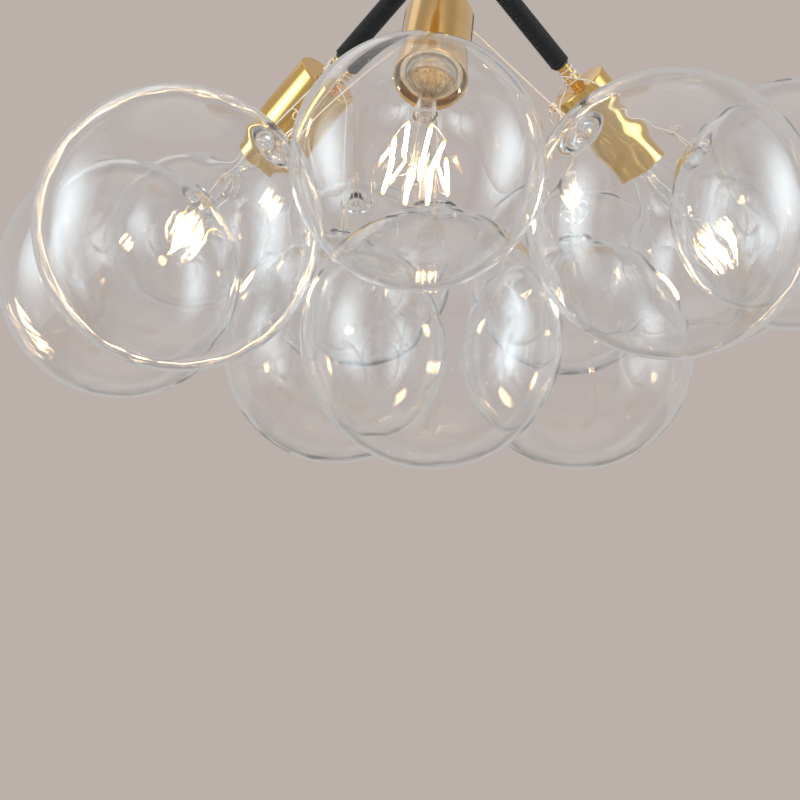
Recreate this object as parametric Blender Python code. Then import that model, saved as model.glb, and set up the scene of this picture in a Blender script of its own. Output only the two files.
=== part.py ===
"""Globe chandelier: three wrapped arms that carry globe lamps, and nine clear glass bubbles.

Metres, +Z up. The origin is the middle of the ceiling bar's top face. The axes of the three arms
meet at the apex, the centre of the hub ball under the stem. Every lamp is turned about its own
arm, so a lamp's pieces are drawn in the arm's frame, whose height runs outward from the apex.
Azimuths are degrees about Z from -Y towards +X, and pitches are degrees below the horizontal.
"""

import math

import bmesh
import bpy
from mathutils import Matrix, Vector

# Clearances and working values
seat_gap = 0.0003
cut_overrun = 0.004
weld_distance = 0.000001

# Globe lamps
bulb_radius = 0.0625
bulb_wall = 0.001
bulb_neck_length = 0.026
cap_radius = 0.013
cap_wall = 0.0006
cap_length = 0.027
cap_thread_depth = 0.0009
cap_contact_radius = 0.005
cap_contact_height = 0.0035
cap_grip = 0.004
filament_radius = 0.0010
filament_length = 0.034
filament_cage_radius = 0.0140
bulb_stem_radius = 0.0055

# Clear bubbles
bubble_radius = 0.075
bubble_wall = 0.002
boss_radius = 0.0130
boss_height = 0.0030
boss_hole_radius = 0.0065

# Arms, cups and lampholders
arm_radius = 0.005
arm_wall = 0.0005
wrap_cord_diameter = 0.0015
stud_bore_radius = 0.0028
stud_show = 0.017
stud_socket = 0.010
lead_radius = 0.0020
cup_radius = 0.020
cup_wall = 0.0012
cup_length = 0.069
cup_edge = 0.0010
nut_width = 0.014
nut_height = 0.004
holder_wall = 0.0030
holder_base = 0.010
holder_floor = 0.004
holder_setback = 0.006
holder_pin_hole = 0.002
socket_clearance = 0.0007

# Nylon lines
line_diameter = 0.0010
line_slack = 0.0004
line_eye_radius = 0.0028
line_eye_height = 0.016
stop_radius = 0.0085
stop_height = 0.0020

# Hub, stem and ceiling canopy
hub_radius = 0.018
hub_seat = 0.008
hub_bore_radius = 0.0032
stem_radius = 0.006
stem_nipple_radius = 0.005
stem_bore_radius = 0.0030
stem_length = 0.300
stem_nipple_show = 0.008
collar_radius = 0.011
collar_height = 0.012
canopy_radius = 0.060
canopy_height = 0.028
canopy_wall = 0.0012
canopy_drop = 0.0005
bar_thickness = 0.0020
bar_width = 0.020
bar_tab = 0.014
bar_end_clearance = 0.0008
slot_width = 0.0052
slot_length = 0.012
screw_radius = 0.0019
screw_head_radius = 0.0050
screw_head_height = 0.0050
screw_drop = 0.009
screw_grip = 0.003
block_length = 0.022
block_depth = 0.014
block_height = 0.012
block_offset = 0.019
block_edge = 0.0012

# Counts
turned_steps = 12
fine_steps = 18
ball_steps = 14
ball_bands = 7
rod_steps = 12
wrap_loops = 16
wrap_loop_points = 8
thread_ridges = 3
loop_points = 6
nut_sides = 6

# Angles in degrees
sharp_angle = 40
bulb_ball_end = 150
loop_opening = 50

# Shares of the sizes that each one follows
lead_start_share = 0.2
neck_curve_shares = (0, 0.4, 0.75)
bulb_waist_share = 0.8
bulb_column_share = 0.62
bulb_column_tip_share = 0.3
bulb_press_shares = (1.4, 1.25)
bulb_column_reach_share = 0.44
bulb_flare_share = 1 / 3
filament_touch_share = 0.8
boss_top_share = 0.8
boss_under_share = 0.8
boss_depth_share = 1 / 3

# Turn of each glowing bar in degrees, and its distances from the lamp's axis at the end near the
# cap and at the other end, as shares of the cage's radius
filament_bar_shares = (
    (-30, 1.02, 1.25),
    (12, 0.92, 0.40),
    (62, 0.96, 0.38),
    (110, 1.03, 0.96),
    (155, 0.96, 0.92),
    (204, 1.07, 1.28),
    (246, 1.00, 1.04),
    (290, 1.00, 1.04),
)

# Lamp name, azimuth and pitch of its arm
lamp_aims = (
    ("front", -6.6, 40.0),
    ("left", -123.5, 38.8),
    ("right", 114.3, 44.3),
)

# Distances below are shares of the spacing: the larger of two bubbles side by side, and a
# bubble beside a lamp.
lamp_room_share = 1.09
bulb_reach_share = 1.913
spacing = max(2 * bubble_radius, (bulb_radius + bubble_radius) * lamp_room_share)
bulb_reach = bulb_reach_share * spacing

# Bubble name, the lamp whose stud it hangs from, azimuth, reach and drop of its centre from the
# apex as shares of the spacing, and its tie's place along the stud
bubble_place_shares = (
    ("front_left", "front", -42.5, 1.48, 1.40, 0.25),
    ("front_right", "front", 31.5, 1.35, 1.36, 0.50),
    ("front_low", "front", -9.5, 0.65, 1.76, 0.75),
    ("left_front", "left", -83.5, 1.39, 1.49, 0.25),
    ("left_back", "left", -161.0, 1.42, 1.36, 0.50),
    ("left_low", "left", -121.5, 0.60, 1.78, 0.75),
    ("right_front", "right", 74.5, 1.41, 1.22, 0.25),
    ("right_back", "right", 154.0, 1.45, 1.38, 0.50),
    ("right_low", "right", 106.0, 0.57, 1.80, 0.75),
)

# Places along an arm, outward from the apex
mouth_at = bulb_reach - bulb_radius - bulb_neck_length
cup_at = mouth_at - cup_length
wrap_end_at = cup_at - stud_show
arm_end_at = wrap_end_at
arm_start_at = hub_radius - hub_seat
wrap_start_at = hub_radius + seat_gap
nut_at = cup_at + cup_wall + seat_gap
holder_at = nut_at + nut_height + seat_gap
stud_radius = arm_radius - arm_wall - seat_gap
stud_end_at = holder_at + holder_base - seat_gap
cap_tip_at = mouth_at - cap_length
holder_end_at = mouth_at - holder_setback
holder_floor_at = cap_tip_at - seat_gap - holder_floor
socket_radius = cap_radius + socket_clearance
lead_start_at = hub_bore_radius + lead_radius + arm_start_at * lead_start_share

# Places below the ceiling
canopy_bottom = -canopy_drop - canopy_height
stem_top = canopy_bottom + canopy_wall + stem_nipple_show
stem_step = canopy_bottom - seat_gap
apex_height = stem_step - stem_length - hub_radius + hub_seat
apex = Vector((0, 0, apex_height))
canopy_inner = canopy_radius - canopy_wall
bar_half_length = math.sqrt(canopy_inner**2 - (bar_width / 2) ** 2) - bar_end_clearance

# A bubble's boss and the stop disc under it: width and depth as shares of the disc's radius and
# height, from where the line enters it
boss_under = bubble_radius - bubble_wall - boss_height * boss_depth_share
stop_entry_share = line_diameter / 2 / stop_radius
stop_shares = ((stop_entry_share, 0), (0.9, 0.05), (1, 0.25), (1, 0.75), (0.9, 1))


def clear_scene():
    """Remove every object of the start-up scene."""
    for item in list(bpy.data.objects):
        bpy.data.objects.remove(item, do_unlink=True)


def finish(name, colour, roughness, metallic, alpha=1.0):
    """A Principled material with one colour."""
    material = bpy.data.materials.new(name)
    material.use_nodes = True
    shader = material.node_tree.nodes["Principled BSDF"]
    shader.inputs["Base Color"].default_value = (*colour, 1.0)
    shader.inputs["Roughness"].default_value = roughness
    shader.inputs["Metallic"].default_value = metallic
    shader.inputs["Alpha"].default_value = alpha
    material.diffuse_color = (*colour, alpha)
    return material


def add(name, data, material, parent=None, place=None):
    """Link a named object that carries one material and hangs on its parent."""
    item = bpy.data.objects.new(name, data)
    bpy.context.scene.collection.objects.link(item)
    data.materials.clear()
    data.materials.append(material)
    item.parent = parent
    item.matrix_basis = place or Matrix()
    return item


def close_mesh(work, name):
    """Weld a bmesh, point its faces outward and return it as a smooth-shaded mesh."""
    bmesh.ops.remove_doubles(work, verts=work.verts, dist=weld_distance)
    bmesh.ops.recalc_face_normals(work, faces=work.faces)
    mesh = bpy.data.meshes.new(name)
    work.to_mesh(mesh)
    work.free()
    mesh.shade_smooth()
    mesh.set_sharp_from_angle(angle=math.radians(sharp_angle))
    return mesh


def turned(name, profile, steps, ring=True):
    """Spin a profile of (radius, height) pairs about Z. A ring profile closes on itself."""
    work = bmesh.new()
    points = [work.verts.new((radius, 0.0, height)) for radius, height in profile]
    edges = [work.edges.new(pair) for pair in zip(points, points[1:])]
    if ring:
        edges.append(work.edges.new((points[-1], points[0])))
    centre = Vector()
    bmesh.ops.spin(work, geom=points + edges, cent=centre, axis=(0, 0, 1), angle=math.tau,
                   steps=steps)
    return close_mesh(work, name)


def tube_profile(inner, outer, low, high):
    """The four corners of a plain tube's wall."""
    return [(inner, low), (outer, low), (outer, high), (inner, high)]


def arc(radius, centre, first, last, count):
    """Points (radius, height) on a circle round a centre on the axis, by angle from +Z."""
    angles = [math.radians(first + (last - first) * i / count) for i in range(count + 1)]
    return [(radius * math.sin(a), centre + radius * math.cos(a)) for a in angles]


def cord(name, route, diameter, sides=1, swell=None):
    """A tube along a route with filled ends; swell gives a share of the radius per point."""
    curve = bpy.data.curves.new(name, "CURVE")
    curve.dimensions = "3D"
    curve.bevel_depth = diameter / 2
    curve.bevel_resolution = sides
    curve.use_fill_caps = True
    spline = curve.splines.new("POLY")
    spline.points.add(len(route) - 1)
    for point, place in zip(spline.points, route):
        point.co = (*place, 1.0)
    for point, share in zip(spline.points, swell or []):
        point.radius = share
    return curve


def least_gap(route, diameter, apart):
    """The least space between stretches of one cord that are some points apart."""
    found = math.inf
    for i, here in enumerate(route):
        for other in route[i + apart:]:
            found = min(found, (here - other).length - diameter)
    return found


def direction(azimuth, pitch):
    """The unit vector at an azimuth and a pitch below the horizontal."""
    turn = math.radians(azimuth)
    fall = math.radians(pitch)
    level = math.cos(fall)
    return Vector((math.sin(turn) * level, -math.cos(turn) * level, -math.sin(fall)))


def hide_cutter(cutter):
    """Keep a cutting tool out of renders and show it as a wire."""
    cutter.hide_render = True
    cutter.display_type = "WIRE"


def cut(target, cutter):
    """Subtract a cutter from an object."""
    modifier = target.modifiers.new(cutter.name, "BOOLEAN")
    modifier.operation = "DIFFERENCE"
    modifier.object = cutter


def cylinder_between(name, radius, low, high, steps=rod_steps):
    """A solid cylinder along Z."""
    return turned(name, [(0, low), (radius, low), (radius, high), (0, high)], steps, ring=False)


clear_scene()

brass = finish("polished_brass", (0.83, 0.60, 0.27), 0.16, 1.0)
brass_thread = finish("brass_thread", (0.78, 0.55, 0.24), 0.30, 1.0)
black_tube = finish("black_tube", (0.03, 0.03, 0.03), 0.55, 0.0)
black_cord = finish("black_cord", (0.02, 0.02, 0.022), 0.70, 0.0)
clear_glass = finish("clear_glass", (0.92, 0.95, 0.95), 0.02, 0.0, 0.25)
bulb_glass = finish("bulb_glass", (0.95, 0.94, 0.90), 0.02, 0.0, 0.25)
stem_glass = finish("stem_glass", (0.90, 0.90, 0.88), 0.05, 0.0, 0.5)
glowing = finish("glowing_filament", (1.0, 0.82, 0.50), 0.40, 0.0)
nickel = finish("nickel_cap", (0.72, 0.70, 0.66), 0.25, 1.0)
porcelain = finish("glazed_porcelain", (0.80, 0.77, 0.70), 0.25, 0.0)
steel = finish("zinc_steel", (0.62, 0.62, 0.60), 0.35, 1.0)
nylon = finish("clear_nylon", (0.88, 0.86, 0.82), 0.20, 0.0, 0.6)
cable = finish("cable_sheath", (0.80, 0.80, 0.78), 0.50, 0.0)
terminal = finish("white_terminal", (0.86, 0.86, 0.83), 0.45, 0.0)


def add_mounting_bar():
    """The ceiling bar: a flat strap with bent ends, two ceiling slots and two screw holes."""
    half = bar_half_length
    inner = half - bar_thickness
    outline = [(-half, 0), (half, 0), (half, -bar_tab), (inner, -bar_tab),
               (inner, -bar_thickness), (-inner, -bar_thickness), (-inner, -bar_tab),
               (-half, -bar_tab)]
    work = bmesh.new()
    points = [work.verts.new((x, -bar_width / 2, z)) for x, z in outline]
    face = work.faces.new(points)
    drawn = bmesh.ops.extrude_face_region(work, geom=[face])
    moved = [item for item in drawn["geom"] if isinstance(item, bmesh.types.BMVert)]
    bmesh.ops.translate(work, verts=moved, vec=(0, bar_width, 0))
    bar = add("mounting_bar", close_mesh(work, "mounting_bar"), steel)
    for side in (-1, 1):
        middle = side * (inner - slot_length)
        work = bmesh.new()
        ends = []
        for end in (-1, 1):
            for step in range(turned_steps // 2 + 1):
                angle = math.pi * step / (turned_steps // 2) - end * math.pi / 2
                x = middle + end * (slot_length - slot_width) / 2 + math.cos(angle) * slot_width / 2
                ends.append(work.verts.new((x, math.sin(angle) * slot_width / 2, -cut_overrun)))
        face = work.faces.new(ends)
        drawn = bmesh.ops.extrude_face_region(work, geom=[face])
        moved = [item for item in drawn["geom"] if isinstance(item, bmesh.types.BMVert)]
        bmesh.ops.translate(work, verts=moved, vec=(0, 0, 2 * cut_overrun))
        cutter = add(f"slot_cutter_{side}", close_mesh(work, "slot_cutter"), steel)
        hide_cutter(cutter)
        cut(bar, cutter)
    return bar


def add_canopy():
    """The round ceiling cup, with a hole for the stem in its floor."""
    hole = stem_nipple_radius + seat_gap
    low = canopy_bottom
    high = -canopy_drop
    profile = [(hole, low), (canopy_radius - cup_edge, low), (canopy_radius, low + cup_edge),
               (canopy_radius, high), (canopy_radius - canopy_wall, high),
               (canopy_radius - canopy_wall, low + canopy_wall), (hole, low + canopy_wall)]
    return add("canopy", turned("canopy", profile, 2 * turned_steps), brass)


def add_side_screws(bar, canopy):
    """Two knurled screws through the canopy's wall into the ends of the bar."""
    hole = cylinder_between("screw_cutter", screw_radius + seat_gap,
                            -canopy_radius - cut_overrun, canopy_radius + cut_overrun)
    across = Matrix.Translation((0, 0, -screw_drop)) @ Matrix.Rotation(math.pi / 2, 4, "Y")
    cutter = add("screw_cutter", hole, steel, place=across)
    hide_cutter(cutter)
    cut(bar, cutter)
    cut(canopy, cutter)
    head_low = canopy_radius + seat_gap
    inner_end = bar_half_length - bar_thickness - screw_grip
    profile = [(0, inner_end), (screw_radius, inner_end), (screw_radius, head_low),
               (screw_head_radius, head_low), (screw_head_radius, head_low + screw_head_height),
               (0, head_low + screw_head_height)]
    for side, turn in (("right", 0), ("left", math.pi)):
        screw = turned("canopy_screw", profile, rod_steps, ring=False)
        place = Matrix.Rotation(turn, 4, "Z") @ across
        add(f"canopy_screw_{side}", screw, brass, place=place)


def hexagon_ring(name, width, hole, low, high):
    """A hexagon nut with a round bore: two rings of points joined all round."""
    count = nut_sides * 2
    work = bmesh.new()
    rings = []
    for height in (low, high):
        for inside in (False, True):
            ring = []
            for step in range(count):
                angle = math.tau * step / count
                corner = math.cos(math.pi / nut_sides) if step % 2 else 1.0
                reach = hole if inside else width / 2 / math.cos(math.pi / nut_sides) * corner
                place = (reach * math.cos(angle), reach * math.sin(angle), height)
                ring.append(work.verts.new(place))
            rings.append(ring)
    outer_low, inner_low, outer_high, inner_high = rings
    for one, two in ((outer_low, outer_high), (inner_high, inner_low),
                     (inner_low, outer_low), (outer_high, inner_high)):
        for step in range(count):
            following = (step + 1) % count
            work.faces.new((one[step], one[following], two[following], two[step]))
    return close_mesh(work, name)


def add_stem():
    """The stem with its collar, its nut, the terminal block and the lead inside."""
    low = apex_height + hub_radius - hub_seat
    under = stem_step - collar_height
    profile = [(stem_bore_radius, low), (stem_radius, low), (stem_radius, under),
               (collar_radius - cup_edge, under), (collar_radius, under + cup_edge),
               (collar_radius, stem_step), (stem_nipple_radius, stem_step),
               (stem_nipple_radius, stem_top), (stem_bore_radius, stem_top)]
    add("stem_tube", turned("stem_tube", profile, turned_steps), brass)
    nut_low = canopy_bottom + canopy_wall + seat_gap
    nut = hexagon_ring("stem_nut", nut_width, stem_nipple_radius + seat_gap, nut_low,
                       nut_low + nut_height)
    add("stem_nut", nut, steel)
    work = bmesh.new()
    size = Matrix.Diagonal((block_length, block_depth, block_height, 1.0))
    middle = Vector((-block_offset, 0, -bar_thickness - seat_gap - block_height / 2))
    bmesh.ops.create_cube(work, size=1.0, matrix=Matrix.Translation(middle) @ size)
    bmesh.ops.bevel(work, geom=list(work.edges), offset=block_edge, segments=1,
                    affect="EDGES", profile=0.5)
    add("terminal_block", close_mesh(work, "terminal_block"), terminal)
    side = -block_offset + block_length / 2 + seat_gap
    start = Vector((side, 0, middle.z + block_height / 4))
    corner = Vector((0, 0, start.z))
    end = Vector((0, 0, stem_top + lead_radius))
    bend = [start.lerp(corner, t).lerp(corner.lerp(end, t), t)
            for t in [i / loop_points for i in range(loop_points + 1)]]
    foot = Vector((0, 0, apex_height + hub_bore_radius))
    add("stem_lead", cord("stem_lead", bend + [foot], 2 * lead_radius, sides=2), cable)


def add_hub(arms):
    """The hub ball, bored for the stem and for the arms."""
    ball = turned("hub", arc(hub_radius, 0, 0, 180, ball_bands + 1), turned_steps, ring=False)
    hub = add("hub", ball, brass, place=Matrix.Translation(apex))
    seat = hub_radius - hub_seat - seat_gap
    stepped = [(0, 0), (hub_bore_radius, 0), (hub_bore_radius, seat)]
    end = hub_radius + cut_overrun
    for name, frame in arms.items():
        wide = arm_radius + seat_gap
        profile = stepped + [(wide, seat), (wide, end), (0, end)]
        tool = turned("socket_cutter", profile, turned_steps, ring=False)
        cutter = add(f"socket_cutter_{name}", tool, steel, place=frame)
        hide_cutter(cutter)
        cut(hub, cutter)
    wide = stem_radius + seat_gap
    profile = stepped + [(wide, seat), (wide, end), (0, end)]
    tool = turned("stem_socket_cutter", profile, turned_steps, ring=False)
    cutter = add("stem_socket_cutter", tool, steel, place=Matrix.Translation(apex))
    hide_cutter(cutter)
    cut(hub, cutter)


def wrap_route():
    """One cord wound round the arm: a straight end, a bend into the coil, and the same back."""
    reach = arm_radius + seat_gap / 2 + wrap_cord_diameter / 2
    reach = reach / math.cos(math.pi / wrap_loop_points)
    bend = 2 * wrap_cord_diameter
    low = wrap_start_at
    high = wrap_end_at - seat_gap
    ends = [(0.0, low), (0.0, low + wrap_cord_diameter)]
    for angle in (math.pi / 4, math.pi / 2):
        ends.append((bend * (1 - math.cos(angle)),
                     low + wrap_cord_diameter + bend * math.sin(angle)))
    count = wrap_loops * wrap_loop_points
    first_turn, first_height = ends[-1]
    last_height = low + high - first_height
    around = math.tau * reach * wrap_loops
    coil = [(first_turn + around * i / count,
             first_height + (last_height - first_height) * i / count)
            for i in range(1, count)]
    total = 2 * first_turn + around
    tail = [(total - turn, low + high - height) for turn, height in reversed(ends)]
    return [Vector((reach * math.cos(turn / reach), reach * math.sin(turn / reach), height))
            for turn, height in ends + coil + tail]


def add_arm(name, axis):
    """The arm of one lamp: pipe, wound cord, brass stud and the lead inside."""
    inner = arm_radius - arm_wall
    pipe = turned("arm_tube", tube_profile(inner, arm_radius, arm_start_at, arm_end_at),
                  turned_steps)
    add(f"arm_tube_{name}", pipe, black_tube, axis)
    route = wrap_route()
    add(f"arm_wrap_{name}", cord("arm_wrap", route, wrap_cord_diameter), black_cord, axis)
    stud = turned("arm_stud", tube_profile(stud_bore_radius, stud_radius,
                                           arm_end_at - stud_socket, stud_end_at), rod_steps)
    add(f"arm_stud_{name}", stud, brass_thread, axis)
    lead_end = stud_end_at + holder_floor
    lead = cylinder_between("arm_lead", lead_radius, lead_start_at, lead_end)
    add(f"arm_lead_{name}", lead, cable, axis)
    return least_gap(route, wrap_cord_diameter, wrap_loop_points // 2 + 1)


def add_cup(name, axis):
    """The brass cup, the nut that clamps it and the lampholder inside it."""
    hole = stud_radius + seat_gap
    inner = cup_radius - cup_wall
    profile = [(hole, cup_at), (cup_radius - cup_edge, cup_at), (cup_radius, cup_at + cup_edge),
               (cup_radius, mouth_at), (inner, mouth_at), (inner, cup_at + cup_wall),
               (hole, cup_at + cup_wall)]
    add(f"lamp_cup_{name}", turned("lamp_cup", profile, fine_steps), brass, axis)
    nut = hexagon_ring("lock_nut", nut_width, hole, nut_at, nut_at + nut_height)
    add(f"lock_nut_{name}", nut, steel, axis)
    outer = socket_radius + holder_wall
    chamber = socket_radius - holder_wall
    profile = [(hole, holder_at), (outer, holder_at), (outer, holder_end_at),
               (socket_radius, holder_end_at), (socket_radius, holder_floor_at + holder_floor),
               (holder_pin_hole, holder_floor_at + holder_floor),
               (holder_pin_hole, holder_floor_at), (chamber, holder_floor_at),
               (chamber, holder_at + holder_base), (hole, holder_at + holder_base)]
    add(f"lampholder_{name}", turned("lampholder", profile, turned_steps), porcelain, axis)


def add_bulb(name, axis):
    """One globe lamp: screw cap, glass, glass stem and the glowing bars in one zigzag."""
    tip = cap_tip_at
    shoulder = tip + cap_contact_height
    thread = shoulder + cap_contact_height
    inner = cap_radius - cap_wall - cap_thread_depth
    ridge = (mouth_at - thread) / (2 * thread_ridges + 2)
    profile = [(0, tip), (cap_contact_radius, tip), (cap_contact_radius, shoulder)]
    for step in range(2 * thread_ridges + 1):
        depth = 0 if step % 2 else cap_thread_depth
        profile.append((cap_radius - depth, thread + ridge * step))
    profile += [(cap_radius, mouth_at), (inner, mouth_at), (inner, thread),
                (cap_contact_radius, thread), (0, thread)]
    add(f"bulb_cap_{name}", turned("bulb_cap", profile, ball_steps, ring=False), nickel, axis)

    centre = bulb_reach
    neck = inner - seat_gap
    edge = math.radians(bulb_ball_end)
    slope = Vector((math.cos(edge), -math.sin(edge)))
    flare = []
    for radius, wall in ((bulb_radius, 0), (bulb_radius - bulb_wall, bulb_wall)):
        start = Vector((neck - wall, mouth_at))
        end = Vector(arc(radius, centre, bulb_ball_end, bulb_ball_end, 1)[0])
        reach = (end - start).length / 3
        one = start + Vector((0, reach))
        two = end + slope * reach
        curve = []
        for t in neck_curve_shares:
            middle = one.lerp(two, t)
            first = start.lerp(one, t).lerp(middle, t)
            last = middle.lerp(two.lerp(end, t), t)
            curve.append(first.lerp(last, t))
        flare.append([(point.x, point.y) for point in curve])
    outer = arc(bulb_radius, centre, 0, bulb_ball_end, ball_bands - 1)
    inside = arc(bulb_radius - bulb_wall, centre, 0, bulb_ball_end, ball_bands - 1)
    low = mouth_at - cap_grip
    profile = outer + flare[0][::-1] + [(neck, low), (neck - bulb_wall, low)] + flare[1]
    profile += inside[::-1]
    add(f"bulb_glass_{name}", turned("bulb_glass", profile, ball_steps, ring=False),
        bulb_glass, axis)

    base = mouth_at - cap_grip
    top = centre + filament_length * bulb_column_reach_share
    foot = neck - bulb_wall - seat_gap
    waist = bulb_stem_radius * bulb_waist_share
    column = bulb_stem_radius * bulb_column_share
    tip = bulb_stem_radius * bulb_column_tip_share
    press, shoulder = (centre - filament_length * share for share in bulb_press_shares)
    profile = [(0, base), (foot, base), (foot, base + bulb_wall),
               (waist, base + bulb_neck_length * bulb_flare_share), (bulb_stem_radius, press),
               (column, shoulder), (column, top - tip), (column - tip, top), (0, top)]
    add(f"bulb_stem_{name}", turned("bulb_stem", profile, rod_steps, ring=False), stem_glass,
        axis)

    low = centre - filament_length / 2
    high = centre + filament_length / 2
    first_turn = math.radians(filament_bar_shares[0][0])
    ahead = Vector((math.cos(first_turn), math.sin(first_turn), 0))
    near = filament_cage_radius * filament_touch_share
    route = [ahead * (column + seat_gap) + Vector((0, 0, low)), ahead * near + Vector((0, 0, low))]
    for bar, (turn, low_share, high_share) in enumerate(filament_bar_shares):
        angle = math.radians(turn)
        out = Vector((math.cos(angle), math.sin(angle), 0)) * filament_cage_radius
        ends = [out * low_share + Vector((0, 0, low)), out * high_share + Vector((0, 0, high))]
        route += ends[::-1] if bar % 2 else ends
    curve = cord("bulb_filament", route, 2 * filament_radius)
    add(f"bulb_filament_{name}", curve, glowing, axis)


def bubble_mesh():
    """A blown bubble, pole up: shell, thick round boss on top and the hole through it."""
    rise = math.degrees(math.asin(boss_radius / bubble_radius))
    top = bubble_radius + boss_height
    outer = arc(bubble_radius, 0, rise, 180, ball_bands)
    rim = (boss_radius * boss_top_share, top)
    thick = (boss_radius * boss_under_share, boss_under)
    inner = arc(bubble_radius - bubble_wall, 0, rise, 180, ball_bands)
    profile = outer[::-1] + [rim, (boss_hole_radius, top), (boss_hole_radius, boss_under), thick]
    profile += inner
    return turned("bubble", profile, ball_steps, ring=False)


def line_route(tie_share, centre):
    """A nylon line in the arm's frame: round the stud, over the cup's rim, to the bubble.

    Near the bubble it makes one small eye, then it runs through the boss and ends in a stop disc.
    Returns the route, the swelling of each point and the unit vector up from the bubble.
    """
    half = line_diameter / 2
    tie_at = wrap_end_at + tie_share * stud_show
    reach = stud_radius + half + line_slack
    away = Vector((centre.x, centre.y, 0)).normalized()
    side = Vector((-away.y, away.x, 0))
    # The loop starts a little past the place where the line leaves it
    opening = math.radians(loop_opening)
    route = []
    for step in range(loop_points + 1):
        angle = opening + (math.tau - opening) * step / loop_points
        route.append(reach * (math.cos(angle) * side - math.sin(angle) * away)
                     + Vector((0, 0, tie_at)))
    clear = half + line_slack
    rim = away * (cup_radius + clear) + Vector((0, 0, cup_at - clear))
    route.append(rim)
    up = (rim - centre).normalized()
    top = bubble_radius + boss_height
    eye = centre + up * (top + line_eye_height)
    normal = up.cross(side).normalized()
    binormal = up.cross(normal).normalized()
    shift = line_diameter + 2 * line_slack
    for step in range(loop_points):
        angle = math.tau * step / (loop_points - 1)
        offset = shift * (step / (loop_points - 1) - 0.5)
        turn = line_eye_radius * (1 - math.cos(angle)) * normal
        route.append(eye + turn - up * line_eye_radius * math.sin(angle) + binormal * offset)
    route.append(centre + up * (top + line_diameter))
    swell = [1.0] * len(route)
    # The disc sits inside the bubble, under the boss, and is wider than its hole
    under = boss_under - seat_gap
    for wide_share, drop_share in stop_shares:
        route.append(centre + up * (under - drop_share * stop_height))
        swell.append(wide_share * stop_radius / half)
    return route, swell, up


def add_bubbles(arms, axes):
    """Nine bubbles and their lines, each hung on the frame of its own arm."""
    shape = bubble_mesh()
    gaps = []
    for name, lamp, azimuth, reach_share, drop_share, tie_share in bubble_place_shares:
        turn = math.radians(azimuth)
        reach = reach_share * spacing
        place = Vector((reach * math.sin(turn), -reach * math.cos(turn), -drop_share * spacing))
        centre = arms[lamp].inverted() @ (apex + place)
        route, swell, up = line_route(tie_share, centre)
        stand = Matrix.Translation(centre) @ up.to_track_quat("Z", "Y").to_matrix().to_4x4()
        add(f"bubble_{name}", shape, clear_glass, axes[lamp], stand)
        line = cord("line", route, line_diameter, swell=swell)
        add(f"line_{name}", line, nylon, axes[lamp])
        gaps.append(least_gap(route[:-len(stop_shares)], line_diameter, loop_points // 2))
    return min(gaps)


bar = add_mounting_bar()
canopy = add_canopy()
add_side_screws(bar, canopy)
add_stem()
arm_frames = {}
arm_axes = {}
wrap_gaps = []
for lamp_name, lamp_azimuth, lamp_pitch in lamp_aims:
    aim = direction(lamp_azimuth, lamp_pitch)
    frame = Matrix.Translation(apex) @ aim.to_track_quat("Z", "Y").to_matrix().to_4x4()
    axis_empty = bpy.data.objects.new(f"arm_axis_{lamp_name}", None)
    bpy.context.scene.collection.objects.link(axis_empty)
    axis_empty.matrix_world = frame
    arm_frames[lamp_name] = frame
    arm_axes[lamp_name] = axis_empty
    wrap_gaps.append(add_arm(lamp_name, axis_empty))
    add_cup(lamp_name, axis_empty)
    add_bulb(lamp_name, axis_empty)
add_hub(arm_frames)
line_gap = add_bubbles(arm_frames, arm_axes)
print(f"least gap of a wound arm cord to itself: {min(wrap_gaps) * 1000:.2f} mm")
print(f"least gap of a nylon line to itself: {line_gap * 1000:.2f} mm")
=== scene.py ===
"""Globe chandelier: glass, brass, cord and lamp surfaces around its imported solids.

Metres, +Z up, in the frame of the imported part. A lamp's pieces are worked out in the frame of its
arm, whose height runs outward from the apex where the three arms meet. A bubble's pieces are
worked out in the frame of the bubble, whose height runs up its hanging line.
"""

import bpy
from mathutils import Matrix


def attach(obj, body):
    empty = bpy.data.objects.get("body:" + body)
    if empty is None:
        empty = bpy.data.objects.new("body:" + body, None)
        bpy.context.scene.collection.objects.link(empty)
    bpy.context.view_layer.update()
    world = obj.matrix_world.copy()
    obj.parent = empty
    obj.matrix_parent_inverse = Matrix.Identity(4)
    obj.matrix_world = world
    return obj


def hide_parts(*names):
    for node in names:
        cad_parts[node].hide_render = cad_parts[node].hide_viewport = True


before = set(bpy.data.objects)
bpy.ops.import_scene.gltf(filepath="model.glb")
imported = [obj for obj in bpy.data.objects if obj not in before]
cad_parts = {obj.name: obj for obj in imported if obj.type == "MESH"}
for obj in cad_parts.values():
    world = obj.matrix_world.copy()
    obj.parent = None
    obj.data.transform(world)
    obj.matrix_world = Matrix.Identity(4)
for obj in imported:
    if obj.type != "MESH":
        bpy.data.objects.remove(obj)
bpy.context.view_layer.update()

import math
from types import SimpleNamespace

import bpy
import numpy as np
from bpy.props import FloatProperty, FloatVectorProperty, IntProperty, PointerProperty
from mathutils import Vector

bl_info = {
    "name": "Globe chandelier surfaces",
    "version": (1, 0, 0),
    "blender": (4, 5, 0),
    "location": "3D View > Sidebar > Chandelier",
    "description": "Builds the glass, brass, cord and lamp surfaces of a globe chandelier",
    "category": "Object",
}

# Lamp name: azimuth of its arm from -Y towards +X and its pitch below the horizontal, in degrees
LAMP_AIMS = {"front": (-6.6, 40.0), "left": (-123.5, 38.8), "right": (114.3, 44.3)}
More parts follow.
